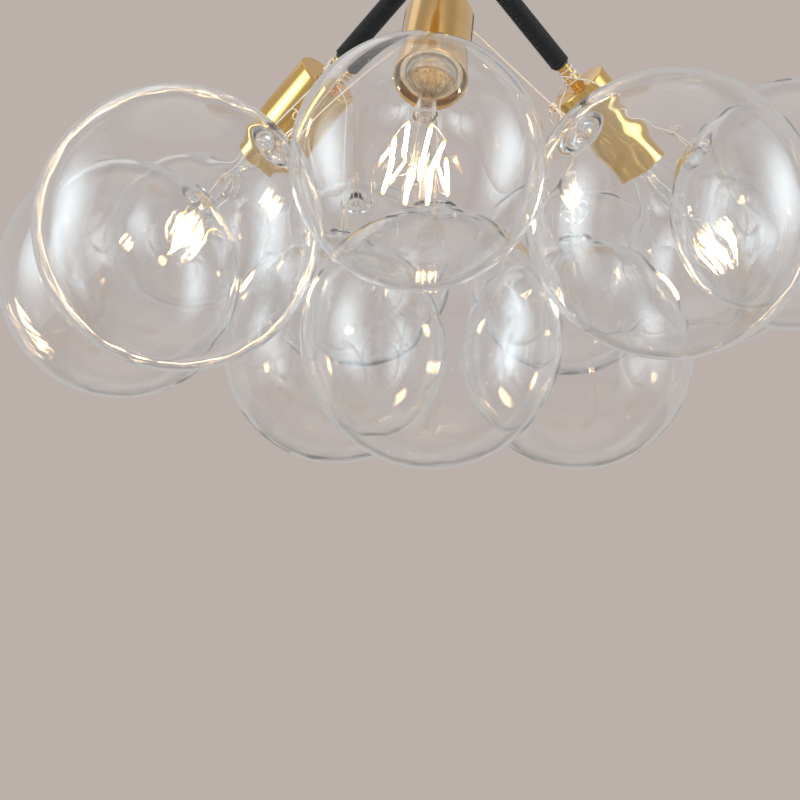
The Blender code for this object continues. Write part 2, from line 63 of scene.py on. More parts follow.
# Bubble name: its lamp, azimuth in degrees, reach and drop from the apex as shares of the
# spacing, and the share of the stud where its line is tied
BUBBLE_PLACES = {
    "front_left": ("front", -42.5, 1.48, 1.40, 0.25),
    "front_right": ("front", 31.5, 1.35, 1.36, 0.50),
    "front_low": ("front", -9.5, 0.65, 1.76, 0.75),
    "left_front": ("left", -83.5, 1.39, 1.49, 0.25),
    "left_back": ("left", -161.0, 1.42, 1.36, 0.50),
    "left_low": ("left", -121.5, 0.60, 1.78, 0.75),
    "right_front": ("right", 74.5, 1.41, 1.22, 0.25),
    "right_back": ("right", 154.0, 1.45, 1.38, 0.50),
    "right_low": ("right", 106.0, 0.57, 1.80, 0.75),
}
# Turn of each glowing bar in degrees, and its distances from the lamp's axis at the end near the
# cap and at the other end, as shares of the cage's radius
LAMP_BARS = (
    (-30, 1.02, 1.25),
    (12, 0.92, 0.40),
    (62, 0.96, 0.38),
    (110, 1.03, 0.96),
    (155, 0.96, 0.92),
    (204, 1.07, 1.28),
    (246, 1.00, 1.04),
    (290, 1.00, 1.04),
)
LAMP_ROOM_SHARE = 1.09
BULB_REACH_SHARE = 1.913
# From a lamp's middle to its glass pinch and to its column's end, in lengths of the bars' cage
PRESS_SHARE = 1.38
COLUMN_SHARE = 0.44
# Degrees: where a lamp's sphere turns into its neck, and the opening in the top of the hub ball
BALL_END = 150
HUB_OPENING = 19.6
# Lengths of fittings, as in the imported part
CAP_WALL = 0.0006
CAP_THREAD = 0.0009
CAP_GRIP = 0.004
STUD_BORE = 0.0028
STUD_SOCKET = 0.010
NUT_HEIGHT = 0.004
HOLDER_WALL = 0.003
HOLDER_BASE = 0.010
HOLDER_FLOOR = 0.004
HOLDER_SETBACK = 0.006
HOLDER_HOLE = 0.002
SOCKET_ROOM = 0.0007
HUB_SEAT = 0.008
NIPPLE_RADIUS = 0.005
NIPPLE_SHOW = 0.008
STEM_BORE = 0.003
COLLAR_RADIUS = 0.011
COLLAR_HEIGHT = 0.012
CANOPY_DROP = 0.0005
BAR_WIDTH = 0.020
BAR_THICKNESS = 0.002
BAR_END_ROOM = 0.0008
SCREW_RADIUS = 0.0019
SCREW_HEAD = 0.005
SCREW_DROP = 0.009
SCREW_GRIP = 0.003
# Wall of a lamp's inner glass, and the lift of a hole's edge while the corners round it are made
STEM_WALL = 0.0009
EDGE_LIFT = 0.0006
# The radius under which a profile's end counts as on its axis, and that of a ring kept just off it
ON_AXIS = 1e-9
NEAR_AXIS = 0.00002
# Waves in blown glass: sines in a field, the lengths of the slow and the quick ones, and what is
# added to a bubble's seed for the quick ones
WAVE_COUNT = 8
SLOW_WAVE = 0.080
QUICK_WAVE = 0.016
QUICK_SEED = 100
# Places on a bubble, as one minus the cosine of the angle from its boss: where the waves start and
# over how much they grow; the quick ones' strength far off, its gain at the boss, and the gain's reach
WAVES_START = (0.02, 0.04)
QUICK_STRENGTH = (0.55, 1.2, 0.45)
# How much thicker the bottom is, as a share of the wall; the share of the slow waves that the
# outside keeps, and the level added to them there, so that the outside only sinks
BOTTOM_SHARE = 0.4
OUTSIDE_SHARE = 0.4
OUTSIDE_LEVEL = 2.5
# The wound cord: pitch in diameters, turns over which an end thins, its thinnest share, the room at
# either end, and points in a turn
CORD_PITCH_SHARE = 1.03
CORD_END_TURNS = 0.35
CORD_END_SHARE = 0.25
CORD_END_ROOM = 0.0002
CORD_TURN_POINTS = 26
# A line: its room to what it passes, where its winding starts in degrees, the part of the winding
# that leans towards the cup in radians, its pitch and its turn round a stop's bar in diameters
LINE_SLACK = 0.0004
WINDING_START = -130
WINDING_LEAN = 0.42
WINDING_PITCH_SHARE = 1.05
LINE_TURN_SHARE = 2.1
# Height of a knot above the boss, its length, and how far below it the two strands spread
KNOT_HEIGHT = 0.016
KNOT_LENGTH = 0.006
SPREAD_LENGTH = 0.011
# Curl of a knot's loose end in millimetres, as (binormal, up, normal)
KNOT_TAIL = ((0, 0, 0), (2.2, 1.2, 0), (5.0, 0.6, 0), (6.2, -2.2, 0.6), (4.2, -4.0, 1.2),
             (2.0, -2.4, 1.6), (3.4, 0.6, 1.8), (8.0, -1.0, 1.0), (9.8, -6.2, 0))
# Softboxes, as (y, z): the middle of the sheet, its hot spot, and how far that spreads; and the
# brightness away from the hot spot
SOFTBOX_MIDDLE = (-0.33, -0.26)
SOFTBOX_HOT = (-0.30, -0.37)
SOFTBOX_SPREAD = (0.25, 0.36)
SOFTBOX_BASE = 0.7
# Lights that aren't seen themselves: place, width and height, power in watts
AREA_LIGHTS = {
    "overhead_softbox": ((-0.9, 1.1, 0.9), (0.9, 0.6), 16.0),
    "front_softbox": ((0.7, -2.4, 0.8), (1.2, 0.8), 36.0),
}
LIGHTS_AIM = (0, 0, -0.45)
# The camera fitted to the photo: place, focal length and picture width in pixels, and a sensor's
# width in millimetres
CAMERA_PLACE = (-0.0339, -0.9121, -0.6384)
FOCAL_PIXELS = 1428
PHOTO_PIXELS = 800
SENSOR_WIDTH = 36.0
SIDES = {"left": -1, "right": 1}
# Edges that turn by more degrees than this are shaded sharp
SHARP_ANGLE = 50
WHITE = (1.0, 1.0, 1.0)
FINISH_PREFIX = "chandelier_"


# Settings that a user would change


def length(name, description, default):
    """A length property in metres."""
    return FloatProperty(name=name, description=description, default=default, min=0.0,
                         precision=5, unit="LENGTH")


def colour(name, description, default):
    """A colour property."""
    return FloatVectorProperty(name=name, description=description, default=default, size=3,
                               min=0.0, max=1.0, subtype="COLOR")


def amount(name, description, default):
    """A plain number property."""
    return FloatProperty(name=name, description=description, default=default, min=0.0)


class ChandelierSizes(bpy.types.PropertyGroup):
    """Lengths shared by the pieces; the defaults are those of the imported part."""

    apex_drop: length("Apex drop", "Depth of the arms' meeting point under the ceiling", 0.3388)
    seat_gap: length("Seat gap", "Room between pieces that are seated in each other", 0.0003)
    bubble_radius: length("Bubble radius", "Outer radius of a clear bubble", 0.075)
    bubble_wall: length("Bubble wall", "Usual wall of a clear bubble", 0.002)
    boss_radius: length("Boss radius", "Radius of the thick glass round a bubble's hole", 0.013)
    boss_height: length("Boss height", "How far the thick glass stands proud", 0.003)
    boss_hole: length("Boss hole", "Radius of the hole through the boss", 0.0065)
    stop_radius: length("Stop radius", "Radius of the clear disc under the boss", 0.0085)
    stop_height: length("Stop height", "Thickness of the clear disc under the boss", 0.002)
    bulb_radius: length("Lamp radius", "Outer radius of a globe lamp", 0.0625)
    bulb_wall: length("Lamp wall", "Wall of a globe lamp", 0.001)
    bulb_neck: length("Lamp neck", "Length of a lamp's neck outside its cup", 0.026)
    cap_radius: length("Cap radius", "Outer radius of a lamp's screw cap", 0.013)
    cap_length: length("Cap length", "Length of a lamp's screw cap", 0.027)
    bar_radius: length("Bar radius", "Radius of a glowing bar", 0.0010)
    filament_length: length("Bar length", "Length of the glowing bars' cage", 0.034)
    cage_radius: length("Cage radius", "Usual distance of the glowing bars from the axis", 0.014)
    column_radius: length("Column radius", "Radius of the glass column in a lamp", 0.0034)
    arm_radius: length("Arm radius", "Radius of an arm's pipe under the cord", 0.005)
    arm_wall: length("Arm wall", "Wall of an arm's pipe", 0.0005)
    cord_diameter: length("Cord diameter", "Diameter of the cord wound on the arms", 0.0015)
    stud_show: length("Stud length", "Length of bare stud above a cup", 0.017)
    cup_radius: length("Cup radius", "Outer radius of a lamp's brass cup", 0.020)
    cup_length: length("Cup length", "Length of a lamp's brass cup", 0.069)
    cup_wall: length("Cup wall", "Wall of the brass cups", 0.0012)
    line_diameter: length("Line diameter", "Diameter of a bubble's nylon line", 0.0010)
    hub_radius: length("Hub radius", "Radius of the ball that holds the arms", 0.018)
    stem_radius: length("Stem radius", "Radius of the stem under the canopy", 0.006)
    stem_length: length("Stem length", "Length of the stem under the canopy", 0.300)
    canopy_radius: length("Canopy radius", "Radius of the ceiling canopy", 0.060)
    canopy_height: length("Canopy height", "Height of the ceiling canopy", 0.028)


class ChandelierFinishes(bpy.types.PropertyGroup):
    """Colours and strengths of the finishes."""

    brass: colour("Brass", "Polished brass of cups, studs, stem and canopy", (0.92, 0.59, 0.20))
    worn_brass: colour("Worn brass", "Brass where hands have dulled it", (0.74, 0.43, 0.13))
    cord: colour("Cord", "Black cord wound on the arms", (0.0075, 0.0075, 0.0075))
    glass_rim: colour("Glass rim", "Tint of clear glass where it is seen edge on",
                      (0.985, 0.990, 0.985))
    lamp_rim: colour("Lamp rim", "Tint of lamp glass where it is seen edge on",
                     (0.980, 0.985, 0.955))
    # The nylon's warm tint is painted lamp light laid over its own pale, milky tone
    nylon: colour("Nylon", "Clear nylon of the hanging lines", (0.98, 0.84, 0.70))
    glow: colour("Glow", "Light of the glowing bars", (1.0, 0.74, 0.42))
    glow_strength: amount("Glow strength", "Brightness of the glowing bars", 40.0)
    wave: length("Glass waves", "Height of the waves in the blown bubbles' walls", 0.00005)


class ChandelierStudio(bpy.types.PropertyGroup):
    """Backdrop, lights and floor."""

    backdrop: colour("Backdrop", "Colour behind the chandelier", (0.4969, 0.4342, 0.4020))
    floor: colour("Floor", "Colour of the floor", (0.62, 0.58, 0.55))
    floor_drop: length("Floor drop", "Depth of the floor under the ceiling", 1.9)
    floor_radius: length("Floor radius", "Radius of the floor's disc", 3.0)
    softbox: amount("Softbox", "Brightness of the two tall softboxes beside the chandelier", 4.6)
    softbox_tone: colour("Softbox tone", "Cool daylight of the two tall softboxes",
                         (0.80, 0.93, 1.0))
    softbox_reach: length("Softbox reach", "How far each softbox stands from the middle", 1.0)
    softbox_width: length("Softbox width", "Width of each softbox", 0.70)
    softbox_height: length("Softbox height", "Height of each softbox", 1.60)
    room: amount("Room", "Brightness of the studio round the chandelier", 0.47)
    steps: IntProperty(name="Round steps", description="Steps round a large glass sphere",
                       default=128, min=16)


def sizes():
    """The chandelier's lengths, with the places that follow from them.

    Places along an arm count from the apex, and those of a boss from its bubble's centre.
    """
    own = bpy.context.scene.chandelier_sizes
    s = SimpleNamespace(**{name: getattr(own, name) for name in own.__annotations__})
    s.apex = np.array([0.0, 0.0, -s.apex_drop])
    s.spacing = max(2 * s.bubble_radius, (s.bulb_radius + s.bubble_radius) * LAMP_ROOM_SHARE)
    s.bulb_at = BULB_REACH_SHARE * s.spacing
    s.press_at = s.bulb_at - PRESS_SHARE * s.filament_length
    s.column_end = s.bulb_at + COLUMN_SHARE * s.filament_length
    s.mouth_at = s.bulb_at - s.bulb_radius - s.bulb_neck
    s.cup_at = s.mouth_at - s.cup_length
    s.holder_at = s.cup_at + s.cup_wall + NUT_HEIGHT + 2 * s.seat_gap
    s.wrap_end = s.cup_at - s.stud_show
    s.wrap_start = s.hub_radius + s.seat_gap
    s.stud_radius = s.arm_radius - s.arm_wall - s.seat_gap
    s.cap_bore = s.cap_radius - CAP_WALL - CAP_THREAD
    s.line_room = s.line_diameter / 2 + LINE_SLACK
    s.boss_under = s.bubble_radius - s.bubble_wall - s.boss_height / 3
    s.stop_top = s.boss_under - s.seat_gap
    return s


# Surfaces: points, faces with three or four corners, and a texture place for every corner


def unit(vectors):
    """Vectors divided by their lengths."""
    return vectors / np.linalg.norm(vectors, axis=-1, keepdims=True)


def grid(points, loop_rows=False, loop_columns=True):
    """Quads between neighbouring points of a grid; u runs over its columns and v over its rows."""
    rows, columns = points.shape[:2]
    i, j = np.meshgrid(np.arange(rows - (not loop_rows)), np.arange(columns - (not loop_columns)),
                       indexing="ij")
    ahead, beside = (i + 1) % rows, (j + 1) % columns
    quads = np.stack([i * columns + j, i * columns + beside, ahead * columns + beside,
                      ahead * columns + j], axis=-1).reshape(-1, 4)
    u = np.stack([j, j + 1, j + 1, j], axis=-1) / columns
    v = np.stack([i, i, i + 1, i + 1], axis=-1) / rows
    return {"points": points.reshape(-1, 3), "faces": [quads],
            "places": [np.stack([u, v], axis=-1).reshape(-1, 4, 2)]}


def capped(surface, columns, first, last):
    """A grid closed at its first and last row by a fan of triangles to one point each."""
    count = len(surface["points"])
    around = np.arange(columns)
    beside = (around + 1) % columns
    tip = np.full(columns, count)
    starts = np.stack([tip, beside, around], axis=-1)
    ends = np.stack([tip + 1, count - columns + around, count - columns + beside], axis=-1)
    u = np.stack([around + 0.5, around + 1, around], axis=-1) / columns
    ends_u = np.stack([around + 0.5, around, around + 1], axis=-1) / columns
    surface["points"] = np.concatenate([surface["points"], [first], [last]])
    surface["faces"] += [starts, ends]
    surface["places"] += [np.stack([u, np.zeros_like(u)], axis=-1),
                          np.stack([ends_u, np.ones_like(u)], axis=-1)]
    return surface


def joined(surfaces):
    """Several surfaces as one, with their corners counted on."""
    counts = np.cumsum([0] + [len(s["points"]) for s in surfaces[:-1]])
    return {"points": np.concatenate([s["points"] for s in surfaces]),
            "faces": [f + count for s, count in zip(surfaces, counts) for f in s["faces"]],
            "places": [p for s in surfaces for p in s["places"]]}


def moved(surface, turn, centre):
    """A surface turned by a matrix and then shifted."""
    return {**surface, "points": surface["points"] @ np.asarray(turn).T + np.asarray(centre)}


def outward(surface):
    """A closed surface with its faces turned outward, by the sign of the volume it encloses."""
    p = surface["points"]
    volume = sum(np.einsum("ij,ij->", p[f[:, 0]], np.cross(p[f[:, k]], p[f[:, k + 1]]))
                 for f in surface["faces"] for k in range(1, f.shape[1] - 1))
    if volume >= 0:
        return surface
    return {**surface, "faces": [f[:, ::-1] for f in surface["faces"]],
            "places": [p[:, ::-1] for p in surface["places"]]}


def ringed(rows, steps):
    """Points (radius cos a, radius sin a, height) for rows of (radius, height) and steps of a."""
    angle = np.arange(steps) * math.tau / steps
    ring = np.stack([np.cos(angle), np.sin(angle)], axis=-1)
    height = np.broadcast_to(rows[:, None, 1:], (len(rows), steps, 1))
    return np.concatenate([rows[:, None, :1] * ring, height], axis=-1)


def lathe(profile, steps):
    """A profile of (radius, height) rows carried round the height axis.

    Rows on the axis become one point each, and a profile with no row on the axis closes on itself.
    """
    profile = np.asarray(profile, float)
    solid = profile[0, 0] < ON_AXIS
    surface = grid(ringed(profile[1:-1] if solid else profile, steps), loop_rows=not solid)
    if solid:
        surface = capped(surface, steps, (0, 0, profile[0, 1]), (0, 0, profile[-1, 1]))
    return surface


def turned(points, radii, curve_steps, steps, start=None):
    """A lathe piece from a closed profile whose corners are rounded, all but the first.

    A start takes the place of the first corner once the others are rounded.
    """
    radii = [0, *np.broadcast_to(radii, len(points) - 1), 0]
    profile = rounded([*points, points[0]], radii, curve_steps)[:-1]
    if start is not None:
        profile[0] = start
    return lathe(profile, steps)


def side_vectors(path):
    """Tangents of a path and two sideways directions that don't twist along it.

    Each point gets any sideways direction. The angle by which the one before, carried over by
    the smallest turn, differs from it is summed up along the path and taken back.
    """
    tangent = unit(np.gradient(path, axis=0))
    side = unit(np.cross(tangent, np.eye(3)[np.argmin(np.abs(tangent), axis=1)]))
    axis = np.cross(tangent[:-1], tangent[1:])
    cosine = np.einsum("ij,ij->i", tangent[:-1], tangent[1:])[:, None]
    lean = np.einsum("ij,ij->i", axis, side[:-1])[:, None]
    carried = side[:-1] * cosine + np.cross(axis, side[:-1]) + axis * lean / (1 + cosine)
    over = np.cross(tangent, side)
    twist = np.arctan2(np.einsum("ij,ij->i", carried, over[1:]),
                       np.einsum("ij,ij->i", carried, side[1:]))
    angle = np.concatenate([[0.0], np.cumsum(twist)])[:, None]
    first = side * np.cos(angle) + over * np.sin(angle)
    return tangent, first, np.cross(tangent, first)


def tube(path, radius, sides):
    """A round tube along a path: path + radius (cos a first + sin a second), with closed ends."""
    path = np.asarray(path, float)
    radius = np.broadcast_to(radius, len(path))[:, None, None]
    tangent, first, second = side_vectors(path)
    angle = (np.arange(sides) * math.tau / sides)[None, :, None]
    points = path[:, None] + radius * (np.cos(angle) * first[:, None] + np.sin(angle) * second[:, None])
    return capped(grid(points), sides, path[0], path[-1])


def rounded(points, radii, steps=6):
    """A line whose corners are replaced by quadratic curves that start and end a radius away."""
    points = np.asarray(points, float)
    radii = np.broadcast_to(radii, len(points))
    t = np.linspace(0, 1, steps + 1)[:, None]
    pieces = [points[:1]]
    for before, corner, after, radius in zip(points, points[1:], points[2:], radii[1:]):
        into, out = before - corner, after - corner
        start = corner + into * min(radius / np.linalg.norm(into), 0.5)
        end = corner + out * min(radius / np.linalg.norm(out), 0.5)
        pieces.append((1 - t) ** 2 * start + 2 * t * (1 - t) * corner + t ** 2 * end)
    return np.concatenate(pieces + [points[-1:]])


def flowing(points, steps):
    """A smooth line through points: cubics whose slopes follow from the points on either side."""
    points = np.asarray(points, float)
    whole = np.concatenate([2 * points[:1] - points[1:2], points, 2 * points[-1:] - points[-2:-1]])
    a, b, c, d = (whole[k:len(whole) - 3 + k, None] for k in range(4))
    t = (np.arange(steps) / steps)[None, :, None]
    line = 0.5 * (2 * b + (c - a) * t + (2 * a - 5 * b + 4 * c - d) * t ** 2
                  + (3 * b - a - 3 * c + d) * t ** 3)
    return np.concatenate([line.reshape(-1, points.shape[1]), points[-1:]])


def arc(radius, centre, first, last, count):
    """Rows (radius sin a, centre + radius cos a), with a in degrees from the top."""
    angle = np.radians(np.linspace(first, last, count + 1))
    return np.stack([radius * np.sin(angle), centre + radius * np.cos(angle)], axis=-1)


def waves(directions, wavelength, seed):
    """A smooth field over unit vectors: sines in seeded directions, summed over their count's root."""
    random = np.random.default_rng(seed)
    axes = unit(random.normal(size=(WAVE_COUNT, 3))) * math.tau / wavelength
    phases = random.uniform(0, math.tau, WAVE_COUNT)
    return np.sin(directions @ axes.T + phases).mean(axis=-1) * math.sqrt(WAVE_COUNT)


# Objects


def mesh_of(name, surface):
    """A surface as a mesh with its texture places."""
    mesh = bpy.data.meshes.new(name)
    corners = np.concatenate([f.ravel() for f in surface["faces"]])
    counts = np.concatenate([np.full(len(f), f.shape[1]) for f in surface["faces"]])
    places = np.concatenate([p.reshape(-1, 2) for p in surface["places"]])
    mesh.vertices.add(len(surface["points"]))
    mesh.vertices.foreach_set("co", surface["points"].astype(np.float32).ravel())
    mesh.loops.add(len(corners))
    mesh.loops.foreach_set("vertex_index", corners.astype(np.int32))
    mesh.polygons.add(len(counts))
    mesh.polygons.foreach_set("loop_start", (np.cumsum(counts) - counts).astype(np.int32))
    mesh.update(calc_edges=True)
    mesh.uv_layers.new(name="UVMap").data.foreach_set("uv", places.astype(np.float32).ravel())
    mesh.shade_smooth()
    mesh.set_sharp_from_angle(angle=math.radians(SHARP_ANGLE))
    return mesh


def linked(name, data):
    """A new object in the scene."""
    made = bpy.data.objects.new(name, data)
    bpy.context.scene.collection.objects.link(made)
    return made


def piece(name, surface, finish, body, stands_for=()):
    """Link a piece that rides on a body, takes a finish and stands for CAD nodes."""
    made = linked(name, mesh_of(name, outward(surface)))
    made.data.materials.append(kept(finish))
    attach(made, body)
    if stands_for:
        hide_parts(*stands_for)
    return made


def arm_pieces(s, lamp, body, rows):
    """Build a lamp's pieces from rows of name, surface, finish, slot and the nodes replaced."""
    return [piece(f"{name}_{lamp}", moved(surface, arm(s, lamp), s.apex), finish, body,
                  [f"{node}_{lamp}" for node in nodes])
            for name, surface, finish, slot, *nodes in rows]


def refinish(node, finish):
    """Give a solid that is carried over from the part a finish of its own."""
    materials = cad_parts[node].data.materials
    materials.clear()
    materials.append(kept(finish))


def direction(azimuth, pitch):
    """The unit vector at an azimuth and a pitch below the horizontal, in degrees."""
    turn, fall = math.radians(azimuth), math.radians(pitch)
    return np.array([math.sin(turn) * math.cos(fall), -math.cos(turn) * math.cos(fall),
                     -math.sin(fall)])


def standing(axis):
    """The turn that takes the height axis onto a direction."""
    return np.array(Vector(axis).to_track_quat("Z", "Y").to_matrix())


# Shader wiring


class Signal:
    """A shader socket. Arithmetic on it adds Math nodes."""

    def __init__(self, wiring, socket):
        self.wiring = wiring
        self.socket = socket

    def out(self, name):
        """Another output of the same node."""
        return Signal(self.wiring, self.socket.node.outputs[name])

    def maths(self, operation, *others):
        """A Math node with this signal first."""
        values = dict(enumerate((self, *others)))
        return self.wiring.node("ShaderNodeMath", values, operation=operation)

    def __add__(self, other):
        return self.maths("ADD", other)

    __radd__ = __add__

    def __sub__(self, other):
        return self.maths("SUBTRACT", other)

    def __rsub__(self, other):
        return (self * -1) + other

    def __mul__(self, other):
        return self.maths("MULTIPLY", other)

    __rmul__ = __mul__

    def __truediv__(self, other):
        return self.maths("DIVIDE", other)

    def __pow__(self, other):
        return self.maths("POWER", other)

    def smooth(self, low, high):
        """0 below low, 1 above high and a smooth step between them."""
        values = {"Value": self, "From Min": low, "From Max": high}
        return self.wiring.node("ShaderNodeMapRange", values, interpolation_type="SMOOTHSTEP")

    def band(self, low, high, edge):
        """1 between low and high, with edges of that half width."""
        return self.smooth(low - edge, low + edge) * (1 - self.smooth(high - edge, high + edge))

    def bell(self, middle, width):
        """The bell curve exp(-((x - middle) / width) ** 2)."""
        away = (self - middle) / width
        return (away * away * -1).maths("EXPONENT")


class Wiring:
    """The shader tree of a material or a world while it is wired."""

    def __init__(self, owner):
        owner.use_nodes = True
        self.owner = owner
        self.tree = owner.node_tree
        self.tree.nodes.clear()

    def node(self, kind, values=None, **settings):
        """Add a node: its settings first, then the values or links of its sockets."""
        made = self.tree.nodes.new(kind)
        for name, value in settings.items():
            setattr(made, name, value)
        for name, value in (values or {}).items():
            socket = made.inputs[name]
            if isinstance(value, Signal):
                self.tree.links.new(value.socket, socket)
            elif socket.type == "RGBA":
                socket.default_value = (*value, 1.0)
            else:
                socket.default_value = value
        shown = [output for output in made.outputs if output.enabled]
        return Signal(self, shown[0]) if shown else None

    def mix(self, share, one, two):
        """One colour at share 0 and the other at 1."""
        return self.node("ShaderNodeMix", {0: share, 6: one, 7: two}, data_type="RGBA")

    def times(self, tint, level):
        """A colour times a level."""
        return self.node("ShaderNodeMix", {0: 1.0, 6: tint, 7: level}, data_type="RGBA",
                         blend_type="MULTIPLY")

    def noise(self, place, scale, detail=2.0, roughness=0.5):
        """A noise value at a place."""
        return self.node("ShaderNodeTexNoise", {"Vector": place, "Scale": scale, "Detail": detail,
                                                "Roughness": roughness})

    def place(self):
        """The point on the object."""
        return self.node("ShaderNodeTexCoord").out("Object")

    def split(self, vector):
        """A vector as a node with the outputs X, Y and Z."""
        return self.node("ShaderNodeSeparateXYZ", {"Vector": vector})

    def spread(self, across, along):
        """The piece's own texture place, counted so many times across and along."""
        own = self.node("ShaderNodeTexCoord").out("UV")
        return self.node("ShaderNodeMapping", {"Vector": own, "Scale": (across, along, 1.0)})

    def bump(self, height, strength, distance):
        """A normal from a height."""
        return self.node("ShaderNodeBump", {"Height": height, "Strength": strength,
                                            "Distance": distance})

    def emit(self, tint):
        """A shader that gives off a colour."""
        return self.node("ShaderNodeEmission", {"Color": tint, "Strength": 1.0})

    def either(self, share, one, two):
        """One shader at share 0 and the other at 1."""
        return self.node("ShaderNodeMixShader", {0: share, 1: one, 2: two})

    def show(self, shader):
        """Put a shader on the material's output."""
        self.node("ShaderNodeOutputMaterial", {"Surface": shader})

    def principled(self, **values):
        """The one shader of a finish, on its output."""
        sockets = {name.replace("_", " "): value for name, value in values.items()}
        self.show(self.node("ShaderNodeBsdfPrincipled", sockets))


def new_finish(name):
    """A new material and its empty wiring. Its prefix keeps it apart from the frame's own."""
    material = bpy.data.materials.new(FINISH_PREFIX + name)
    return material, Wiring(material)


def kept(name):
    """The finish of that name, wired on its first use."""
    made = bpy.data.materials.get(FINISH_PREFIX + name)
    if made is None:
        made, wiring = new_finish(name)
        wire, *told = FINISHES[name]
        wire(wiring, bpy.context.scene.chandelier_finishes, *told)
    return made


# Finishes: each one takes its wiring, the settings, and what its row in FINISHES tells it


def brass(w, own, lines, roughness):
    """Polished brass: faint turning lines, dulled patches and a slightly uneven gloss."""
    dull = w.noise(w.place(), 38.0, detail=3.0, roughness=0.6).smooth(0.52, 0.80)
    turning = w.noise(w.spread(4.0, lines), 1.0)
    w.principled(Base_Color=w.mix(dull * 0.45, own.brass, own.worn_brass), Metallic=1.0,
                 Roughness=dull * 0.10 + turning * 0.05 + (roughness - 0.03),
                 Normal=w.bump(turning, strength=0.04, distance=0.0002))


def clear_glass(w, own, rim, ior, scale, strength, distance):
    """Clear glass with soft waves on its face and a tint edge on."""
    edge = w.node("ShaderNodeLayerWeight", {"Blend": 0.5}).out("Facing")
    swirl = w.noise(w.place(), scale, detail=1.0)
    w.principled(Base_Color=w.mix(edge ** 5.0, WHITE, getattr(own, rim)), Roughness=0.0, IOR=ior,
                 Transmission_Weight=1.0, Normal=w.bump(swirl, strength, distance))


def stem_glass(w, own):
    """Drawn glass of a lamp's inner stem, with fine lines along it."""
    drawn = w.noise(w.spread(30.0, 2.0), 1.0)
    w.principled(Base_Color=w.mix(drawn, (1.0, 1.0, 0.99), (0.97, 0.96, 0.94)), Roughness=0.0,
                 IOR=1.50, Transmission_Weight=1.0,
                 Normal=w.bump(drawn, strength=0.04, distance=0.0002))


def glowing_bar(w, own):
    """Yellow-coated glowing bars: white hot in the middle and amber at both ends."""
    grain = w.noise(w.place(), 900.0, detail=1.0)
    middle = w.split(w.spread(1.0, 1.0)).out("Y").band(0.14, 0.86, 0.06)
    share = middle * (grain * 0.3 + 0.85)
    light = w.mix(share, (1.0, 0.42, 0.10), own.glow)
    level = w.mix(share, (0.10, 0.10, 0.10), WHITE)
    w.principled(Base_Color=w.mix(grain, (0.95, 0.72, 0.22), (0.90, 0.62, 0.15)), Roughness=0.5,
                 Emission_Color=w.times(light, level), Emission_Strength=own.glow_strength)
    w.owner.cycles.emission_sampling = "NONE"


def bright_metal(w, own):
    """Plated metal with fine turning marks and duller spots."""
    spots = w.noise(w.place(), 160.0, detail=4.0, roughness=0.6)
    marks = w.noise(w.spread(3.0, 90.0), 1.0)
    tone = w.mix(spots.smooth(0.45, 0.75), (0.70, 0.68, 0.64), (0.50, 0.49, 0.47))
    w.principled(Base_Color=tone, Metallic=1.0, Roughness=spots * 0.16 + 0.16,
                 Normal=w.bump(marks, strength=0.05, distance=0.0002))


def zinc_steel(w, own):
    """Zinc-plated steel of the hidden fittings, with a mottled crystal bloom."""
    bloom = w.node("ShaderNodeTexVoronoi", {"Vector": w.place(), "Scale": 240.0})
    spots = w.noise(w.place(), 90.0, detail=3.0)
    w.principled(Base_Color=w.mix(bloom * 0.5, (0.62, 0.62, 0.60), (0.46, 0.47, 0.48)),
                 Metallic=1.0, Roughness=spots * 0.2 + 0.25,
                 Normal=w.bump(bloom, strength=0.08, distance=0.0003))


def moulded(w, own, tone, speck, roughness, scale):
    """A moulded or painted surface with a fine even grain."""
    grain = w.noise(w.place(), scale, detail=3.0, roughness=0.6)
    cloud = w.noise(w.place(), scale / 12)
    w.principled(Base_Color=w.mix(grain.smooth(0.3, 0.8), tone, speck),
                 Roughness=cloud * 0.14 + (roughness - 0.07),
                 Normal=w.bump(grain, strength=0.10, distance=0.0002))


def wound_cord(w, own):
    """Waxed black cord: a fine grain of fibres and a dull wax sheen."""
    fibres = w.noise(w.spread(9.0, 2600.0), 1.0, detail=3.0, roughness=0.6)
    pale = [2.4 * channel for channel in own.cord]
    w.principled(Base_Color=w.mix(fibres.smooth(0.35, 0.75), own.cord, pale),
                 Roughness=w.noise(w.place(), 140.0) * 0.22 + 0.40, Sheen_Weight=0.04,
                 Sheen_Roughness=0.5, Normal=w.bump(fibres, strength=0.35, distance=0.0003))


def nylon(w, own):
    """Clear nylon: a slightly milky line with drawn streaks, its warm tint painted lamp light."""
    streaks = w.noise(w.spread(6.0, 40.0), 1.0)
    w.principled(Base_Color=w.mix(streaks * 0.5, own.nylon, WHITE),
                 Roughness=streaks * 0.10 + 0.20, IOR=1.53, Transmission_Weight=0.20,
                 Normal=w.bump(streaks, strength=0.1, distance=0.0002))


def stop_glass(w, own):
    """Clear moulded plastic of the stop discs."""
    cloud = w.noise(w.place(), 300.0, detail=1.0)
    w.principled(Base_Color=w.mix(cloud * 0.3, WHITE, (0.90, 0.92, 0.92)), Roughness=0.02,
                 IOR=1.49, Transmission_Weight=1.0,
                 Normal=w.bump(cloud, strength=0.1, distance=0.0004))


def cap_cement(w, own):
    """Cream basing cement with brown specks."""
    specks = w.noise(w.place(), 620.0, detail=3.0, roughness=0.7)
    w.principled(Base_Color=w.mix(specks.smooth(0.54, 0.62), (0.97, 0.80, 0.53),
                                  (0.20, 0.11, 0.05)),
                 Roughness=specks * 0.2 + 0.4, Normal=w.bump(specks, 0.2, 0.0003))


